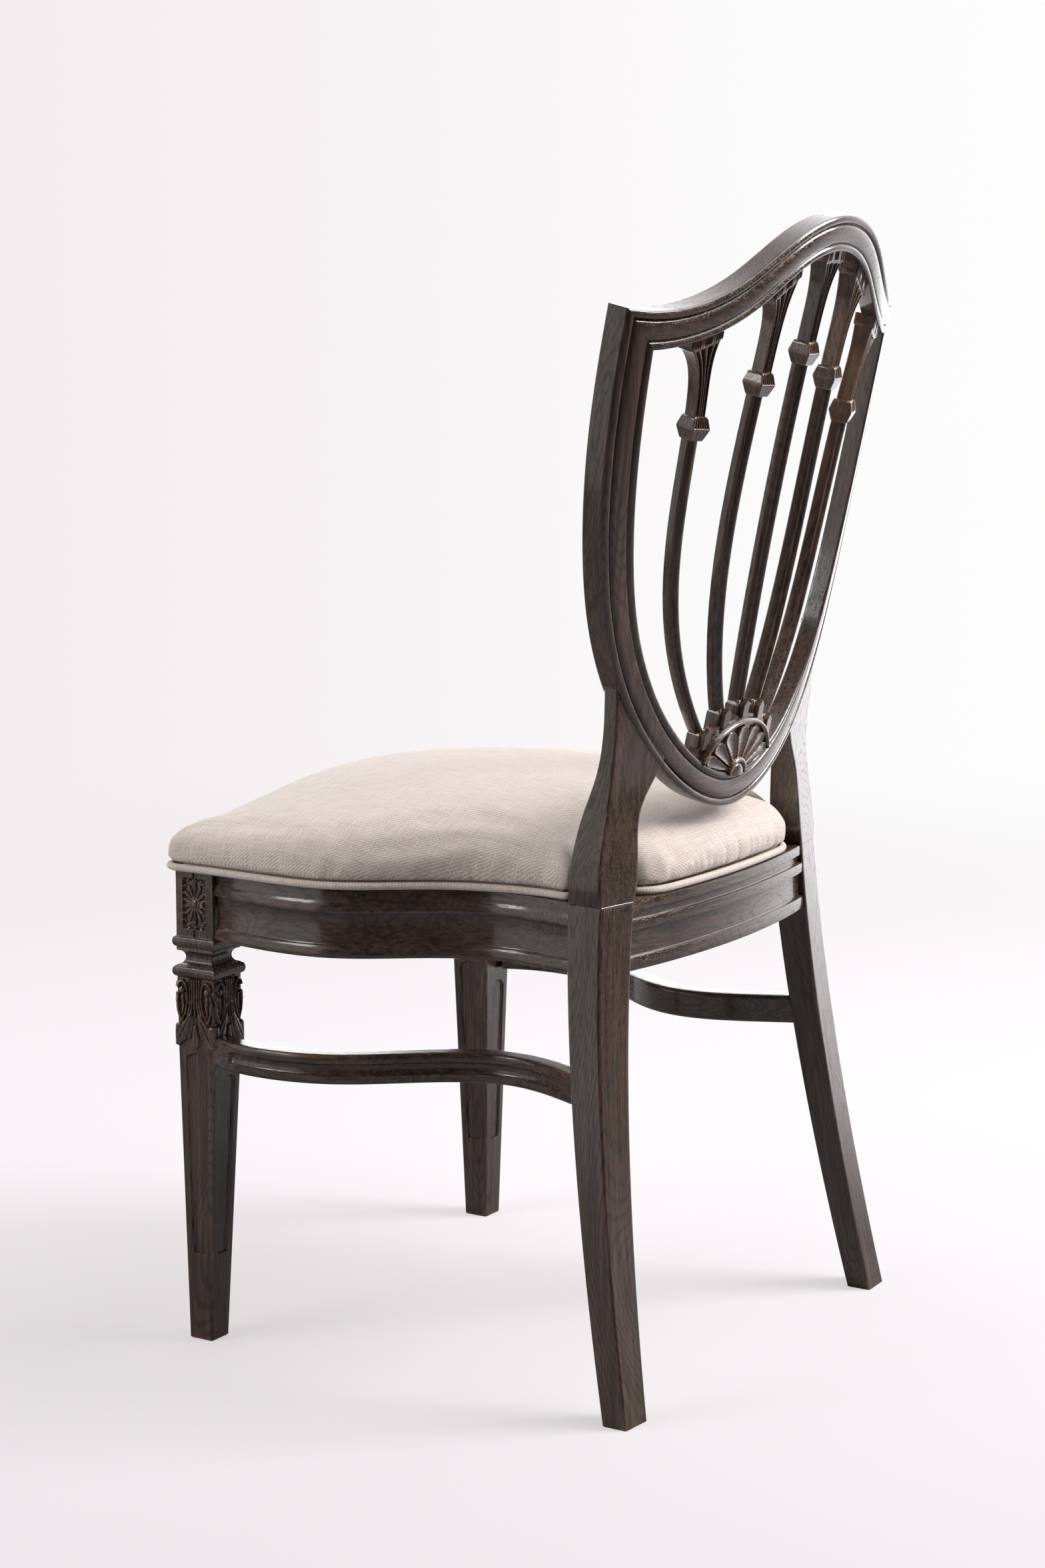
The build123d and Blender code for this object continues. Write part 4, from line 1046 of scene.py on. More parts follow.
def cap_skin(line):
    """The small cap below the crest, cut to the crest's slope and ribbed on its rear."""
    head = line[-1][1]
    rows = []
    for share, grow in ((0, -1.2), (0.08, -0.3), (0.18, 0), (0.5, 0), (0.8, 0), (1.0, 0), (1.12, 0)):
        across, out, mask = block_section(33 + 2 * grow, 18.5 + 2 * grow, 1.5, 97)
        group = np.abs(((across + 16.5) / 11) % 1 - 0.5)
        ribs = 0.6 * (1 - np.cos(2 * math.pi * across / 1.9)) * (group < 0.33) * mask * (0.1 < share < 0.9)
        x = through(line, head) + across
        low = np.interp(x, cap_under[:, 0], cap_under[:, 1])
        high = np.interp(x, soffit[:, 0], soffit[:, 1])
        rows.append(on_splat(line, low + (high - low) * share, across, out + 2.8 + grow - ribs, head))
    return skin(rows)


def splat_shape(name):
    """All the parts of one splat."""
    line, knop = splat_lines[name], knop_heights[name]
    return gather(
        bar_skin(line, knop - 9), foot_skin(line), tab_skin(line), knop_skin(line, knop),
        capital_skin(line, knop + 9), cap_skin(line),
    )


for name in ("outer", "inner"):
    make_pair(f"splat_{name}", "carved", splat_shape(name), shield_up)
make_piece("splat_centre_carved", splat_shape("centre"), dark_oak, shield_up, ["splat_centre"])

# %% [markdown]
# ## The fan
#
# At the foot of the shield sits a plinth with a half-round fan: a rim, nine scooped petals and a boss.
# Carving like this is a relief, so it is one grid in rings round the boss, and a function says how high
# each point stands. The same relief shows on the front.

# %% Fan plinth
fan_middle = np.array((0.0, 28.0))
plinth_middle, plinth_reach = (0, 30), (72.0, 51.0)
rim_middle, rim_reach, rim_width = (0, 32), (63.0, 47.0), 5.6
plinth_depths = (4.0, 17.0)
petal_count, petal_squeeze, boss_reach = 9, 0.62, 15.5
outer_ground = -1.8
opening_low = side_line(frame_width)[3 * span_steps : -3 * span_steps][::-1]


def to_ellipse(way, middle, reach):
    """Distance from the boss along a direction to an ellipse."""
    start = fan_middle - np.array(middle)
    a = ((way / reach) ** 2).sum(-1)
    b = (way * start / np.square(reach)).sum(-1)
    c = ((start / reach) ** 2).sum() - 1
    return (-b + np.sqrt(np.maximum(b * b - a * c, 0))) / a


def to_frame(way):
    """Distance from the boss along a direction until it runs under the frame."""
    reach = np.linspace(0.5, 90, 360)
    spots = fan_middle + way[..., None, :] * reach[:, None]
    floor_up = np.interp(spots[..., 0], opening_low[:, 0], opening_low[:, 1])
    outside = spots[..., 1] < floor_up - 2.5
    first = np.argmax(outside, axis=-1)
    return np.where(outside.any(-1), reach[first], 90.0)


def fan_relief(distance, turn, rim):
    """Height of the carving at a distance from the boss; rim is where the rim ends on that ray."""
    edge = rim - rim_width
    bead = np.sqrt(np.clip(1 - ((distance - rim + rim_width / 2) / (rim_width / 2)) ** 2, 0, 1))
    height = np.where(distance > rim - rim_width / 2, outer_ground, 0) * (1 - bead) + 4.4 * bead
    sine, cosine = np.sin(turn), np.cos(turn) * petal_squeeze
    spread = np.clip(np.arctan2(sine, cosine) / math.pi, 0, 1) * petal_count
    side = np.where(turn > 0, 2 * np.abs(spread - np.floor(spread) - 0.5), 1)
    wide = math.pi / (2 * petal_count) * (sine**2 + cosine**2) / petal_squeeze
    tip = (edge - 0.5) * wide / (1 + wide)
    past = np.maximum(distance - (edge - 0.5 - tip), 0)
    half = np.where(past > 0, tip, distance * wide)
    off = np.hypot(past, side * distance * wide)
    gap = half - off
    hollow = 3.9 - 1.9 * (1 - np.clip(off / np.maximum(half, 0.1), 0, 1) ** 2)
    scoop = hollow * ramp(gap, 0, 1.3)
    boss = 2.6 + 3.6 * np.sqrt(np.clip(1 - (distance / 10.2) ** 2, 0, 1))
    ring = 1.8 + 3.4 * np.sqrt(np.clip(1 - ((distance - 12.9) / 2.6) ** 2, 0, 1))
    middle = np.where(distance < 10.2, boss, np.where(distance < boss_reach, ring, -9))
    inside = np.where(distance < edge, np.maximum(scoop, 0) - 0.4, height)
    return np.maximum(inside, middle)


def fan_shape():
    """Rear relief, edge and front relief as rings round the boss."""
    lower = np.linspace(-math.pi, 0, 100, endpoint=False)
    turn = np.concatenate([lower, np.linspace(0, math.pi, 420, endpoint=False)])
    way = np.stack([np.cos(turn), np.sin(turn)], axis=1)
    reach = np.minimum(to_ellipse(way, plinth_middle, plinth_reach), to_frame(way))
    rim = to_ellipse(way, rim_middle, rim_reach)
    steps = np.concatenate([[0.002], np.linspace(0.012, 1, 120)])
    distance = steps[:, None] * reach[None]
    spots = fan_middle + way[None] * distance[..., None]
    relief = fan_relief(distance, turn[None], rim[None])
    rear = on_back(spots[..., 0], spots[..., 1], plinth_depths[0] - relief)
    front = on_back(spots[..., 0], spots[..., 1], plinth_depths[1] + relief * 0.8)
    return skin(np.concatenate([rear, front[::-3]]))


make_piece("fan_plinth_carved", fan_shape(), dark_oak, (1, 0, 0), ["fan_plinth"])

# %% [markdown]
# ## Front legs
#
# A front leg is a square turned into many things: a block with a rosette, a moulded collar, a capital of
# leaves and scrolls, and a taper with sunk panels. It is one skin too. Each row is a square with round
# corners, and a relief function moves its points in or out. The leaves are strokes: short lines with a
# width and a height, as a carver would draw them before cutting.

# %% Leg relief
block_middle, foot_middle = np.array((222.5, -225.5)), np.array((227.4, -227.5))
block_half, foot_half, shaft_half = 20.5, 12.35, 20.0
shaft_top, capital_top, collar_top = 270.0, 333.5, 371.0
panel_head, joined_head = 257.0, 236.0
rosette_height = 401.0


def stroke(across, down, line, widths, height, sharp=2.0):
    """Height of a carved stroke over a grid; widths are its half widths at the points of its line."""
    best = np.zeros(np.broadcast(across, down).shape)
    for (a, b), wide_a, wide_b in zip(zip(line, line[1:]), widths, widths[1:]):
        ax, ay = a
        dx, dy = b[0] - ax, b[1] - ay
        t = np.clip(((across - ax) * dx + (down - ay) * dy) / (dx * dx + dy * dy), 0, 1)
        gap = np.hypot(across - ax - t * dx, down - ay - t * dy) / (wide_a + (wide_b - wide_a) * t)
        best = np.maximum(best, np.sqrt(np.clip(1 - gap**sharp, 0, 1)))
    return best * height


def leaf_relief(across, down):
    """Leaves of the capital on one face; down is measured from its top."""
    across = np.abs(across)
    strokes = [
        ([(14.6, 39), (10.2, 32), (7.8, 22), (7.5, 12), (9.2, 5.2), (12.8, 2.6), (16.4, 4.2), (18.2, 8.4)],
         [1.2] * 8, 3.1, 2.0),
        ([(14.6, 39), (17.6, 31), (18.6, 21), (18.0, 15)], [1.2] * 4, 3.0, 2.0),
        ([(13.4, 17), (12.6, 24), (14.2, 33)], [1.9, 1.8, 1.0], 2.2, 2.0),
        ([(0, 1), (0, 34)], [1.15, 1.15], 2.5, 2.0),
        ([(2.9, 1), (2.4, 16), (3.1, 26), (5.8, 38)], [1.05, 1.05, 1.1, 1.3], 2.5, 2.0),
        ([(5.5, 1), (4.7, 14), (5.6, 26), (8.8, 37), (13, 46)], [1.0, 1.0, 1.2, 1.5, 1.5], 2.4, 2.0),
        ([(5.2, 33), (9.6, 43), (14.4, 52), (18.6, 60.0)], [1.8, 5.0, 6.0, 2.4], 3.2, 4.0),
        ([(17.8, 44), (20.0, 56)], [3.0, 2.6], 3.1, 3.0),
        ([(3.9, 36), (5.7, 46), (7.3, 54)], [1.8, 2.8, 1.4], 1.7, 3.0),
        ([(0, 44), (0, 54), (0, 58.5)], [2.0, 4.4, 4.6], 2.6, 3.0),
    ]
    height = np.zeros(np.broadcast(across, down).shape)
    for line, widths, tall, sharp in strokes:
        height = np.maximum(height, stroke(across, down, line, widths, tall, sharp))
    eye = 3.7 * np.sqrt(np.clip(1 - ((across - 13.8) ** 2 + (down - 10.8) ** 2) / 3.5**2, 0, 1))
    veins = stroke(across, down, [(7.5, 38), (13, 48), (18.2, 58)], [0.5, 0.8, 0.4], 0.9)
    veins = veins + stroke(across, down, [(0, 47), (0, 61)], [0.5, 0.6], 0.7)
    return np.maximum(height, eye) - veins


def rosette_relief(across, up):
    """A long flower with a wavy border in a sunk panel; up is measured from the block's middle."""
    half_wide, half_high, sink = 12.8, 23.0, 2.6
    petals = ((90, 19.5, 2.2), (68, 17.6, 2.1), (44, 13.6, 2.2), (13, 10.2, 2.4))
    across, up = np.abs(across), np.abs(up)
    inside = np.minimum(half_wide - across, half_high - up)
    ground = -sink * ramp(inside, 0, 1.0)
    flower = np.zeros(np.broadcast(across, up).shape)
    for degrees, length, wide in petals:
        x, y = math.cos(math.radians(degrees)), math.sin(math.radians(degrees))
        share = np.clip((across * x + up * y) / length, 0, 1.2)
        side = up * x - across * y
        end = np.clip(share - 0.78, 0, 1) / 0.22
        half = (0.7 + (wide - 0.7) * share) * np.sqrt(np.clip(1 - end**2, 0, 1))
        petal = 2.3 * np.sqrt(np.clip(1 - (side / np.maximum(half, 1e-3)) ** 2, 0, 1))
        flower = np.maximum(flower, petal - 0.7 * np.exp(-((side / 0.6) ** 2)) * (petal > 0.4))
    heart = 3.0 * np.sqrt(np.clip(1 - (across / 3.6) ** 2 - (up / 4.2) ** 2, 0, 1))
    wave = 1.9 + 0.8 * np.cos(2 * math.pi * (up - across) / 6.2)
    border = 1.7 * np.sqrt(np.clip(1 - ((inside - wave) / 0.95) ** 2, 0, 1))
    return ground + np.maximum(np.maximum(flower, heart), border)


def panel_relief(across, up, half, head):
    """The sunk panel of the tapering shaft, with a round head."""
    foot, margin, sink = 80.0, 6.8, 2.2
    wide = half - margin
    arch = wide * (1 - np.hypot(across / wide, np.maximum(up - head, 0) / (wide * 0.67)))
    inside = np.minimum(np.where(up > head, arch, wide - np.abs(across)), up - foot)
    return -sink * ramp(inside, 0, 1.2)


print("rosette ground", float(rosette_relief(np.array([9.0]), np.array([19.0]))[0]))

# %% Front legs
def collar_part(middle, half_high, base, swell, count):
    """Half round of the collar as (height, half width); a hollow has a negative swell."""
    turns = np.linspace(0.06, math.pi - 0.06, count)
    return [(middle - half_high * math.cos(t), base + swell * math.sin(t)) for t in turns]


collar_line = [
    (333.5, 20.3), (334.0, 20.6), *collar_part(339.2, 4.9, 20.7, 2.95, 15), (344.5, 20.6), (344.9, 19.9),
    *collar_part(351.2, 6.0, 19.6, -4.8, 17), (357.5, 20.2), (357.9, 20.6), (360.3, 20.7), (360.8, 20.5),
    *collar_part(366.0, 4.8, 20.7, 2.7, 15), (371.0, 20.7), (371.5, 20.5),
]


def leg_levels():
    """Heights of the leg's rows with the plain half width there."""
    shaft_rows = [0.0, 0.8, *np.linspace(2, 76, 10), *np.arange(77, 85, 0.6), *np.linspace(86, 230, 16),
                  *np.arange(231, 248, 0.8), *np.linspace(249, 255, 3), *np.arange(256, shaft_top, 0.7)]
    levels = [(z, foot_half + (shaft_half - foot_half) * z / shaft_top) for z in shaft_rows]
    levels[0] = (0.0, foot_half - 0.8)
    capital_rows = np.arange(shaft_top, capital_top - 0.1, 0.6)
    levels += [(z, shaft_half + 0.4 * float(ramp(z, 280, 330))) for z in capital_rows]
    levels += collar_line
    levels += [(z, block_half) for z in np.arange(372, rail_top - 0.9, 0.6)]
    levels += [(rail_top - 0.8, block_half), (rail_top, block_half - 0.8)]
    return levels


def leg_shape(edge=1.3, flat_columns=61):
    """The whole left front leg."""
    flat = np.linspace(-1, 1, flat_columns)
    arc = np.radians([-45, -25, -10])
    tilt = np.concatenate([arc, np.zeros(flat_columns), -arc[:0:-1]])
    ways = [np.array(way) for way in ((1, 0), (0, 1), (-1, 0), (0, -1))]
    rows = []
    for z, half in leg_levels():
        middle = foot_middle + (block_middle - foot_middle) * min(z / shaft_top, 1)
        core = half - edge
        along = np.concatenate([np.full(3, -core), flat * core, np.full(2, core)])
        spot = along + np.sin(tilt) * edge
        row = []
        for number, way in enumerate(ways):
            carve = np.zeros(len(spot))
            if z < shaft_top:
                carve = panel_relief(spot, z, half, joined_head if number == 1 else panel_head)
            if shaft_top - 2 < z < capital_top:
                carve = carve + leaf_relief(spot, capital_top - z)
            if z > collar_top and number in (0, 3):
                carve = rosette_relief(spot, z - rosette_height)
            side = np.array((-way[1], way[0]))
            out = core + (edge + carve) * np.cos(tilt)
            across = along + (edge + carve) * np.sin(tilt)
            row.append(middle + out[:, None] * way + across[:, None] * side)
        rows.append(level_row(np.concatenate(row), z))
    return skin(rows)


make_pair("front_leg", "carved", leg_shape(), (0, 0, 1))

# %% [markdown]
# ## Linen
#
# The cover is a fine linen twill in warm beige: thick and thin threads in two directions that give it a
# soft mixed tone. The weave is drawn in the cloth's own measures, which run on over the edge of the pad,
# so it needs no unwrapping. One group draws it for the pad and for the piping.

# %% Weave group
weave_group, entry, leave = new_group("linen_weave", [
    ("IN", "Vector", "Place"),
    ("IN", "Float", "Threads"),
    ("OUT", "Float", "Height"),
    ("OUT", "Float", "Tone"),
])
threads = add_node(weave_group, "ShaderNodeVectorMath", {0: entry.outputs["Place"]}, operation="SCALE")
weave_group.links.new(entry.outputs["Threads"], threads.inputs["Scale"])
parts = add_node(weave_group, "ShaderNodeSeparateXYZ", {0: threads.outputs["Vector"]})
warp_at, weft_at = parts.outputs["X"], parts.outputs["Y"]


def thread_wave(tree, at):
    """A round thread every whole step."""
    return maths(tree, "ABSOLUTE", maths(tree, "SINE", maths(tree, "MULTIPLY", at, math.pi)))


slanted = maths(weave_group, "ADD", warp_at, weft_at)
twill = maths(weave_group, "SINE", maths(weave_group, "MULTIPLY", slanted, 1.571))
over = fade(weave_group, twill, -0.35, 0.35)
below = maths(weave_group, "SUBTRACT", 1.0, over)
warp = maths(weave_group, "MULTIPLY", thread_wave(weave_group, warp_at), over)
weft = maths(weave_group, "MULTIPLY", thread_wave(weave_group, weft_at), below)
weave_group.links.new(maths(weave_group, "ADD", warp, weft), leave.inputs["Height"])
thread_place = threads.outputs["Vector"]
warp_slub = noise(weave_group, stretched(weave_group, thread_place, (1.0, 0.035, 1.0)), 1.0, 2.0)
weft_slub = noise(weave_group, stretched(weave_group, thread_place, (0.035, 1.0, 1.0)), 1.0, 2.0)
warp_tone = maths(weave_group, "MULTIPLY", warp_slub, over)
weft_tone = maths(weave_group, "MULTIPLY", weft_slub, below)
slub = maths(weave_group, "ADD", warp_tone, weft_tone)
tone = maths(weave_group, "MULTIPLY_ADD", over, 0.16)
weave_group.links.new(slub, tone.node.inputs[2])
weave_group.links.new(tone, leave.inputs["Tone"])
print("group", weave_group.name)


# %% Linen finish
def linen_finish(name, threads_per_metre, pale, deep):
    """Soft mixed linen, with painted shade in the gaps between its threads."""
    material, tree = new_material(name)
    place = add_node(tree, "ShaderNodeAttribute", attribute_name="cloth").outputs["Vector"]
    weave = add_node(tree, "ShaderNodeGroup", node_tree=weave_group)
    weave.inputs["Threads"].default_value = threads_per_metre
    tree.links.new(place, weave.inputs["Place"])
    cloud = noise(tree, place, 26.0, 3.0)
    mixed = fade(tree, weave.outputs["Tone"], 0.38, 0.78)
    colour = mix_colour(tree, mixed, deep, pale)
    shade = maths(tree, "MULTIPLY", fade(tree, cloud, 0.35, 0.7), 0.07)
    colour = mix_colour(tree, shade, colour, deep)
    # Painted shade: the gaps between the threads are darkened towards half the deep colour.
    gaps = maths(tree, "MULTIPLY", maths(tree, "SUBTRACT", 1.0, weave.outputs["Height"]), 0.30)
    colour = mix_colour(tree, gaps, colour, tuple(0.5 * c for c in deep[:3]) + (1,))
    bump = add_node(tree, "ShaderNodeBump", {
        "Strength": 0.35, "Distance": 0.0005, "Height": weave.outputs["Height"]})
    rough = maths(tree, "MULTIPLY_ADD", weave.outputs["Tone"], 0.12)
    rough.node.inputs[2].default_value = 0.80
    shader = add_node(tree, "ShaderNodeBsdfPrincipled", {
        "Base Color": colour, "Roughness": rough, "Normal": bump.outputs["Normal"]})
    shader.inputs["Specular IOR Level"].default_value = 0.25
    shader.inputs["Sheen Weight"].default_value = 0.25
    shader.inputs["Sheen Roughness"].default_value = 0.45
    add_node(tree, "ShaderNodeOutputMaterial", {"Surface": shader.outputs[0]})
    return material


seat_linen = linen_finish("seat_linen", 1000, (0.63, 0.555, 0.508, 1), (0.385, 0.322, 0.282, 1))
print("finish", seat_linen.name)

# %% [markdown]
# ## Seat pad
#
# The pad is foam under linen: a full crown, round edges that swell over the piping and a seam that holds
# its foot. A drawn shape alone looks stiff, so a slightly smaller one is blown up by Blender's cloth: the
# foot is pinned, a little pressure fills the rest, and no point may move further than a cap. The plan
# comes from the seat frame: bowed in front, serpentine at the sides and cut round the posts behind.

# %% Seat plan
pad_foot, pad_crown = 438.4, 506.5
crown_radius, crown_y = 920.0, -60.0
least_edge, crown_blend = 30.0, 6.0
roll_out, roll_high = 6.8, 0.62


def arc(start, over, end, count=40):
    """Points on the circle through three points."""
    (ax, ay), (bx, by), (cx, cy) = start, over, end
    d = 2 * (ax * (by - cy) + bx * (cy - ay) + cx * (ay - by))
    a2, b2, c2 = ax * ax + ay * ay, bx * bx + by * by, cx * cx + cy * cy
    ux = (a2 * (by - cy) + b2 * (cy - ay) + c2 * (ay - by)) / d
    uy = (a2 * (cx - bx) + b2 * (ax - cx) + c2 * (bx - ax)) / d
    first = math.atan2(ay - uy, ax - ux)
    sweep = (math.atan2(cy - uy, cx - ux) - first + math.pi) % (2 * math.pi) - math.pi
    turn = first + sweep * np.linspace(0, 1, count)
    radius = math.hypot(ax - ux, ay - uy)
    return np.stack([ux + radius * np.cos(turn), uy + radius * np.sin(turn)], axis=1)


def seat_plan(count=640, soften=2.2):
    """The seat's outline with softened corners, in millimetres, seen from above and anticlockwise."""
    side = smooth_line([(256, -242), (257, -140), (250.5, -72), (205, 0.5), (183.5, 58), (184, 124)], 30)
    half = np.concatenate([side, [(134, 124), (134, 150), (131, 162), (122, 170.5), (106, 176.5)]])
    front_corner = (-247, -253.5)
    front = arc(front_corner, (0, -257), (247, -253.5))
    rear = arc((106, 176.5), (0, 183), (-106, 176.5))[1:-1]
    line = np.concatenate([front, half, rear, half[::-1] * (-1, 1), [front_corner]])
    line = evenly(line, count + 1)[:-1]
    reach = np.arange(-8, 9)
    weights = np.exp(-0.5 * (reach / soften) ** 2)
    weights /= weights.sum()
    return sum(weight * np.roll(line, step, axis=0) for step, weight in zip(reach, weights))


def plan_out(plan):
    """Unit directions out of a closed plan."""
    way = np.roll(plan, -1, axis=0) - np.roll(plan, 1, axis=0)
    way /= np.linalg.norm(way, axis=1)[:, None]
    return np.stack([way[:, 1], -way[:, 0]], axis=1)


plan = seat_plan()
plan_ways = plan_out(plan)
print("plan", np.round(plan.min(axis=0)), np.round(plan.max(axis=0)))


# %% Seat pad shape
def pad_crown_at(x, y):
    """Height of the crown over a point of the plan."""
    ball = pad_crown - crown_radius + np.sqrt(crown_radius**2 - x**2 - (y - crown_y) ** 2)
    return np.logaddexp(ball / crown_blend, (pad_foot + least_edge) / crown_blend) * crown_blend


def pad_start(inset, edge=15.0, full=2.3):
    """The pad before it is filled: its edge rises round and runs on into the crown."""
    rim = plan - plan_ways * inset
    middle = np.array((0.0, -30.0))
    rows = []
    edge_steps = [0, 0.6, 1.4, 2.6, 4.2, 6.5, 9.5, 13, 17, 22, 28, 36]
    steps = np.concatenate([edge_steps, np.linspace(46, 200, 16)]) / 204
    for share in steps:
        spots = rim + (middle - rim) * share
        gap = np.zeros(len(rim))
        if share:
            gap = np.min(np.linalg.norm(spots[:, None] - rim[None, ::4], axis=2), axis=1)
        rise = (1 - (1 - np.clip(gap / edge, 0, 1)) ** full) ** (1 / full)
        top = pad_crown_at(spots[:, 0], spots[:, 1])
        high = pad_foot + (top - pad_foot) * rise
        swell = roll_out * np.sin(math.pi * np.clip((high - pad_foot) / 24, 0, 1)) ** roll_high
        rows.append(np.column_stack([spots + plan_ways * (swell * (gap < edge))[:, None], high]))
    under = []
    for share, lift in ((0.99, 5.2), (0.085, 5.2), (0.08, 0.0), (0.03, 0.0)):
        spots = rim + (middle - rim) * share
        under.append(np.column_stack([spots, np.full(len(spots), pad_foot + lift)]))
    rows = np.concatenate([rows[::-1], under[::-1]])
    return skin(rows * mm + np.array((0, shift_y, 0)))


def filled(shape, voxel=0.0045, cap=0.004, pressure=3.0):
    """The pad blown up by the cloth solver, with every point's way limited."""
    mesh = bpy.data.meshes.new("pad_start")
    mesh.from_pydata(shape[0].tolist(), [], shape[1])
    pad = bpy.data.objects.new("pad_start", mesh)
    bpy.context.scene.collection.objects.link(pad)
    remesh = pad.modifiers.new("even", "REMESH")
    remesh.mode = "VOXEL"
    remesh.voxel_size = voxel
    graph = bpy.context.evaluated_depsgraph_get()
    even = bpy.data.meshes.new_from_object(pad.evaluated_get(graph))
    pad.modifiers.clear()
    pad.data = even
    start = mesh_points(even)
    held = pad.vertex_groups.new(name="held")
    low = np.flatnonzero(start[:, 2] < (pad_foot + 5.6) * mm)
    held.add(low.tolist(), 1.0, "REPLACE")
    cloth = pad.modifiers.new("cloth", "CLOTH")
    cloth.settings.quality = 5
    cloth.settings.use_pressure = True
    cloth.settings.uniform_pressure_force = pressure
    cloth.settings.vertex_group_mass = "held"
    cloth.settings.tension_stiffness = 20
    cloth.settings.bending_stiffness = 0.6
    cloth.settings.effector_weights.gravity = 0
    for number in range(1, 21):
        bpy.context.scene.frame_set(number)
    graph = bpy.context.evaluated_depsgraph_get()
    blown = bpy.data.meshes.new_from_object(pad.evaluated_get(graph))
    move = mesh_points(blown) - start
    length = np.linalg.norm(move, axis=1)
    move *= (np.minimum(length, cap) / np.maximum(length, 1e-9))[:, None]
    start = start + move
    bpy.context.scene.frame_set(1)
    pad.modifiers.clear()
    print("pad swelled by up to", round(float(np.minimum(length, cap).max()) / mm, 1), "mm")
    even.vertices.foreach_set("co", start.ravel())
    even.update()
    bpy.data.objects.remove(pad)
    return even


def relax(mesh, rounds):
    """Smooths away the steps that an even mesh leaves, apart from the held foot."""
    co = mesh_points(mesh)
    a, b = mesh_edges(mesh)
    count = len(co)
    links = np.maximum(np.bincount(a, minlength=count) + np.bincount(b, minlength=count), 1)
    free = (co[:, 2] > (pad_foot + 1) * mm)[:, None]
    for number in range(rounds):
        sums = [np.bincount(a, co[b, k], count) + np.bincount(b, co[a, k], count) for k in range(3)]
        near = np.stack(sums, axis=1)
        step = 0.5 if number % 2 == 0 else -0.51
        co = co + free * step * (near / links[:, None] - co)
    mesh.vertices.foreach_set("co", co.ravel())
    mesh.update()


pad_mesh = filled(pad_start(2.0))
relax(pad_mesh, 36)
print("pad", len(pad_mesh.vertices), "points, top", round(float(mesh_points(pad_mesh)[:, 2].max()), 4))


# %% Seat pad and piping
def cloth_places(points):
    """The cloth's own measures: the plan, carried on over the edge by the way down the side."""
    flat = points[:, :2] / mm - (0, shift_y / mm)
    nearest = np.empty(len(flat), int)
    for first in range(0, len(flat), 2000):
        gaps = np.linalg.norm(flat[first : first + 2000, None] - plan[None, ::4], axis=2)
        nearest[first : first + 2000] = 4 * gaps.argmin(axis=1)
    inset = ((plan[nearest] - flat) * plan_ways[nearest]).sum(axis=1)
    full = pad_crown_at(flat[:, 0], flat[:, 1])
    drop = np.clip(full - points[:, 2] / mm, 0, None) * (1 - ramp(inset, 10, 40))
    spread = flat + plan_ways[nearest] * drop[:, None]
    return np.column_stack([spread, np.zeros(len(spread))]) * mm


def finish_cloth(piece, places, nodes):
    """Writes the cloth's measures and hands the piece over."""
    mesh = piece.data
    cloth = mesh.attributes.new("cloth", "FLOAT_VECTOR", "POINT")
    cloth.data.foreach_set("vector", places.astype(np.float32).ravel())
    mesh.polygons.foreach_set("use_smooth", np.ones(len(mesh.polygons), bool))
    mesh.materials.clear()
    mesh.materials.append(seat_linen)
    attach(piece, "root")
    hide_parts(*nodes)
    print(piece.name, len(mesh.vertices), "points")


pad = bpy.data.objects.new("seat_pad", pad_mesh)
bpy.context.scene.collection.objects.link(pad)
fine = pad.modifiers.new("fine", "SUBSURF")
fine.levels = 1
fine.render_levels = 1
finish_cloth(pad, cloth_places(mesh_points(pad_mesh)), ["seat_cushion"])

piping_radius, piping_columns = 3.3, 14
piping_middle = rail_top + 0.35 + piping_radius
turn = np.linspace(0, 2 * math.pi, piping_columns, endpoint=False)
piping_line = plan - plan_ways * (piping_radius - 0.4)
ring_out = plan_ways[:, None, :] * (piping_radius * np.cos(turn))[None, :, None]
ring_high = np.broadcast_to(piping_middle + piping_radius * np.sin(turn), (len(plan), piping_columns))
rings = np.concatenate([piping_line[:, None, :] + ring_out, ring_high[..., None]], axis=2)
rings = np.concatenate([rings, rings[:1]]) * mm + np.array((0, shift_y, 0))
piping_points, piping_faces = skin(rings, caps=False)
piping = make_piece("seat_piping_welt", (piping_points, piping_faces), seat_linen)
plan_steps = np.linalg.norm(np.diff(np.vstack([plan, plan[:1]]), axis=0), axis=1)
run = np.concatenate([[0], np.cumsum(plan_steps)])[:-1]
along = np.repeat(run, piping_columns)
around = np.tile(turn * piping_radius, len(plan))
welt_places = np.stack([along + around, along - around, np.zeros(len(along))], axis=1) * mm * 0.7071
finish_cloth(piping, welt_places, ["seat_piping"])

# %% [markdown]
# ## What stays hidden
#
# Under the seat are the board, four corner blocks and the fasteners. Nobody dresses those on a real
# chair, so the CAD nodes stay as they are and only get a plain timber, plywood or steel finish in the
# chair's own measures.


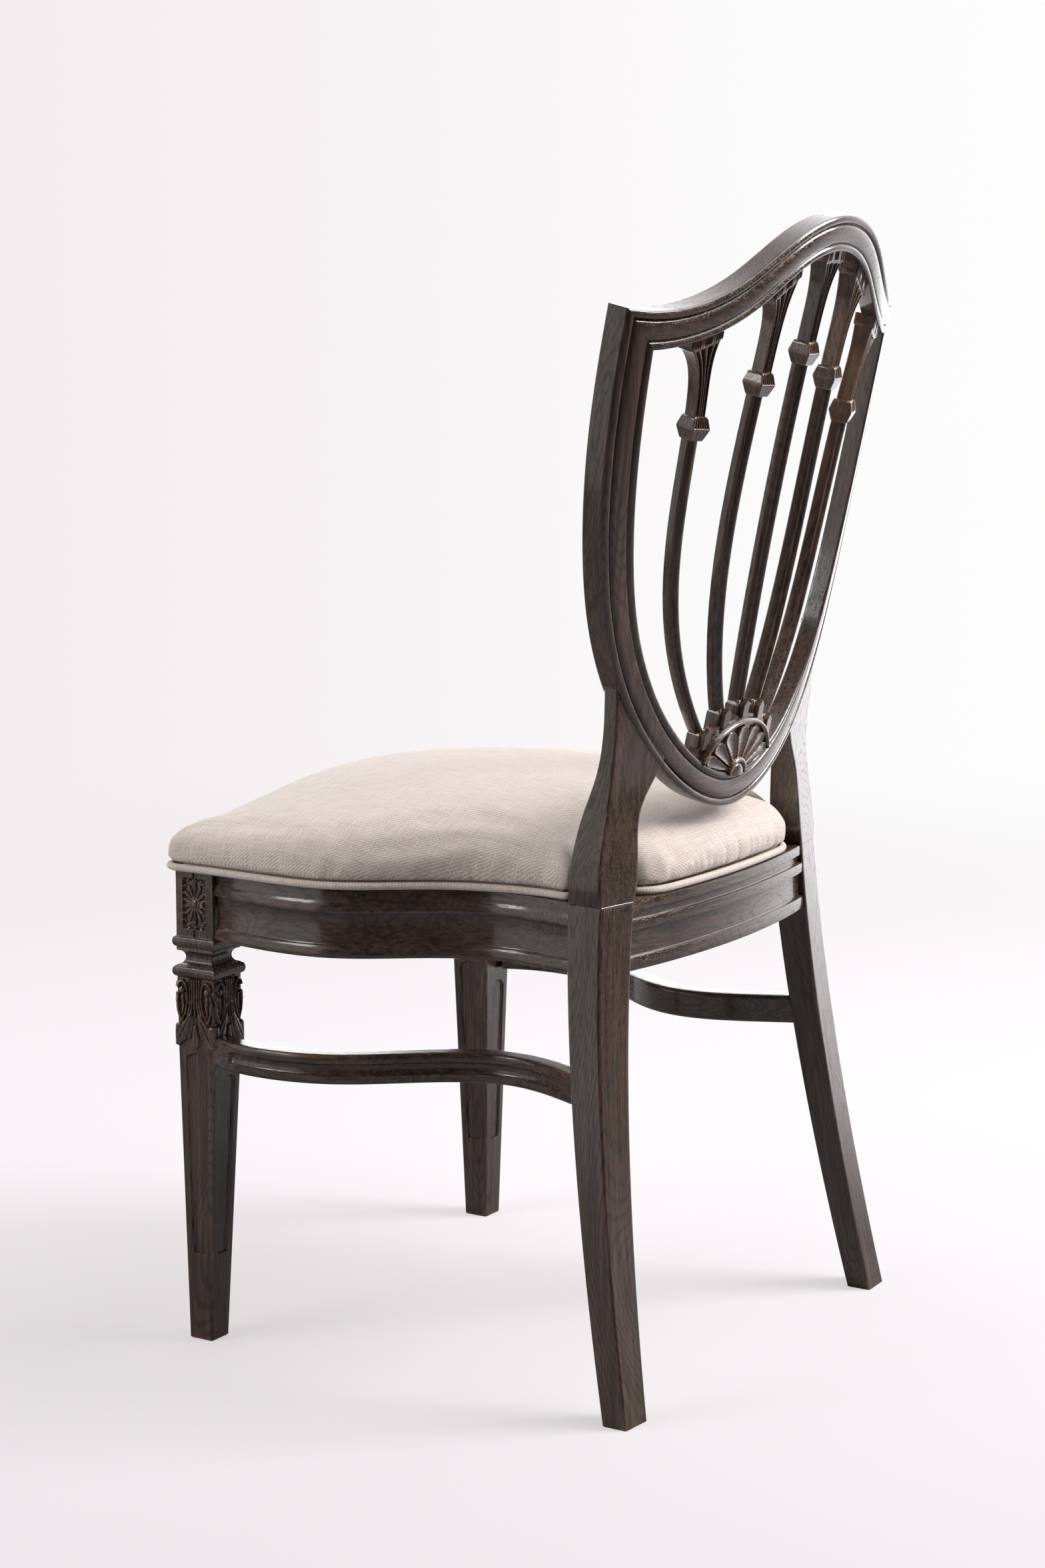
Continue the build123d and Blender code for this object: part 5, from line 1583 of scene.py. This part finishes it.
# %% Hidden pieces
def bare_wood(name, stretch, dark, light):
    """Unfinished wood; stretch sets the way of its grain."""
    material, tree = new_material(name)
    place = add_node(tree, "ShaderNodeTexCoord").outputs["Object"]
    grain = add_node(tree, "ShaderNodeGroup", node_tree=grain_group)
    tree.links.new(stretched(tree, place, stretch), grain.inputs["Place"])
    colour = mix_colour(tree, fade(tree, grain.outputs["Streaks"], 0.3, 0.7), dark, light)
    colour = mix_colour(tree, maths(tree, "MULTIPLY", grain.outputs["Pores"], 0.5), colour, dark)
    bump = add_node(tree, "ShaderNodeBump", {
        "Strength": 0.2, "Distance": 0.0004, "Height": grain.outputs["Streaks"]})
    rough = maths(tree, "MULTIPLY_ADD", grain.outputs["Streaks"], 0.2)
    rough.node.inputs[2].default_value = 0.6
    shader = add_node(tree, "ShaderNodeBsdfPrincipled", {
        "Base Color": colour, "Roughness": rough, "Normal": bump.outputs["Normal"]})
    add_node(tree, "ShaderNodeOutputMaterial", {"Surface": shader.outputs[0]})
    return material


def steel_finish(name):
    """Zinc-plated screws with faint turning marks."""
    material, tree = new_material(name)
    place = add_node(tree, "ShaderNodeTexCoord").outputs["Object"]
    marks = noise(tree, stretched(tree, place, (900, 900, 120)), 1.0, 2.0)
    colour = mix_colour(tree, marks, (0.42, 0.42, 0.43, 1), (0.62, 0.61, 0.60, 1))
    rough = maths(tree, "MULTIPLY_ADD", marks, 0.2)
    rough.node.inputs[2].default_value = 0.25
    shader = add_node(tree, "ShaderNodeBsdfPrincipled", {"Base Color": colour, "Roughness": rough})
    shader.inputs["Metallic"].default_value = 1.0
    add_node(tree, "ShaderNodeOutputMaterial", {"Surface": shader.outputs[0]})
    return material


hidden_finishes = {
    "corner_block": bare_wood("bare_beech", (1, 1, 1), (0.33, 0.22, 0.13, 1), (0.56, 0.42, 0.27, 1)),
    "seat_board": bare_wood("plywood", (1, 1, 6), (0.42, 0.31, 0.20, 1), (0.66, 0.53, 0.37, 1)),
    "dowels": bare_wood("dowel_beech", (0.2, 1, 5), (0.40, 0.28, 0.17, 1), (0.60, 0.46, 0.30, 1)),
    "screws": steel_finish("screw_steel"),
}
for node_name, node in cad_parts.items():
    for key, finish in hidden_finishes.items():
        if key in node_name and not node.hide_render:
            node.data.materials.clear()
            node.data.materials.append(finish)
            print(node_name, finish.name)
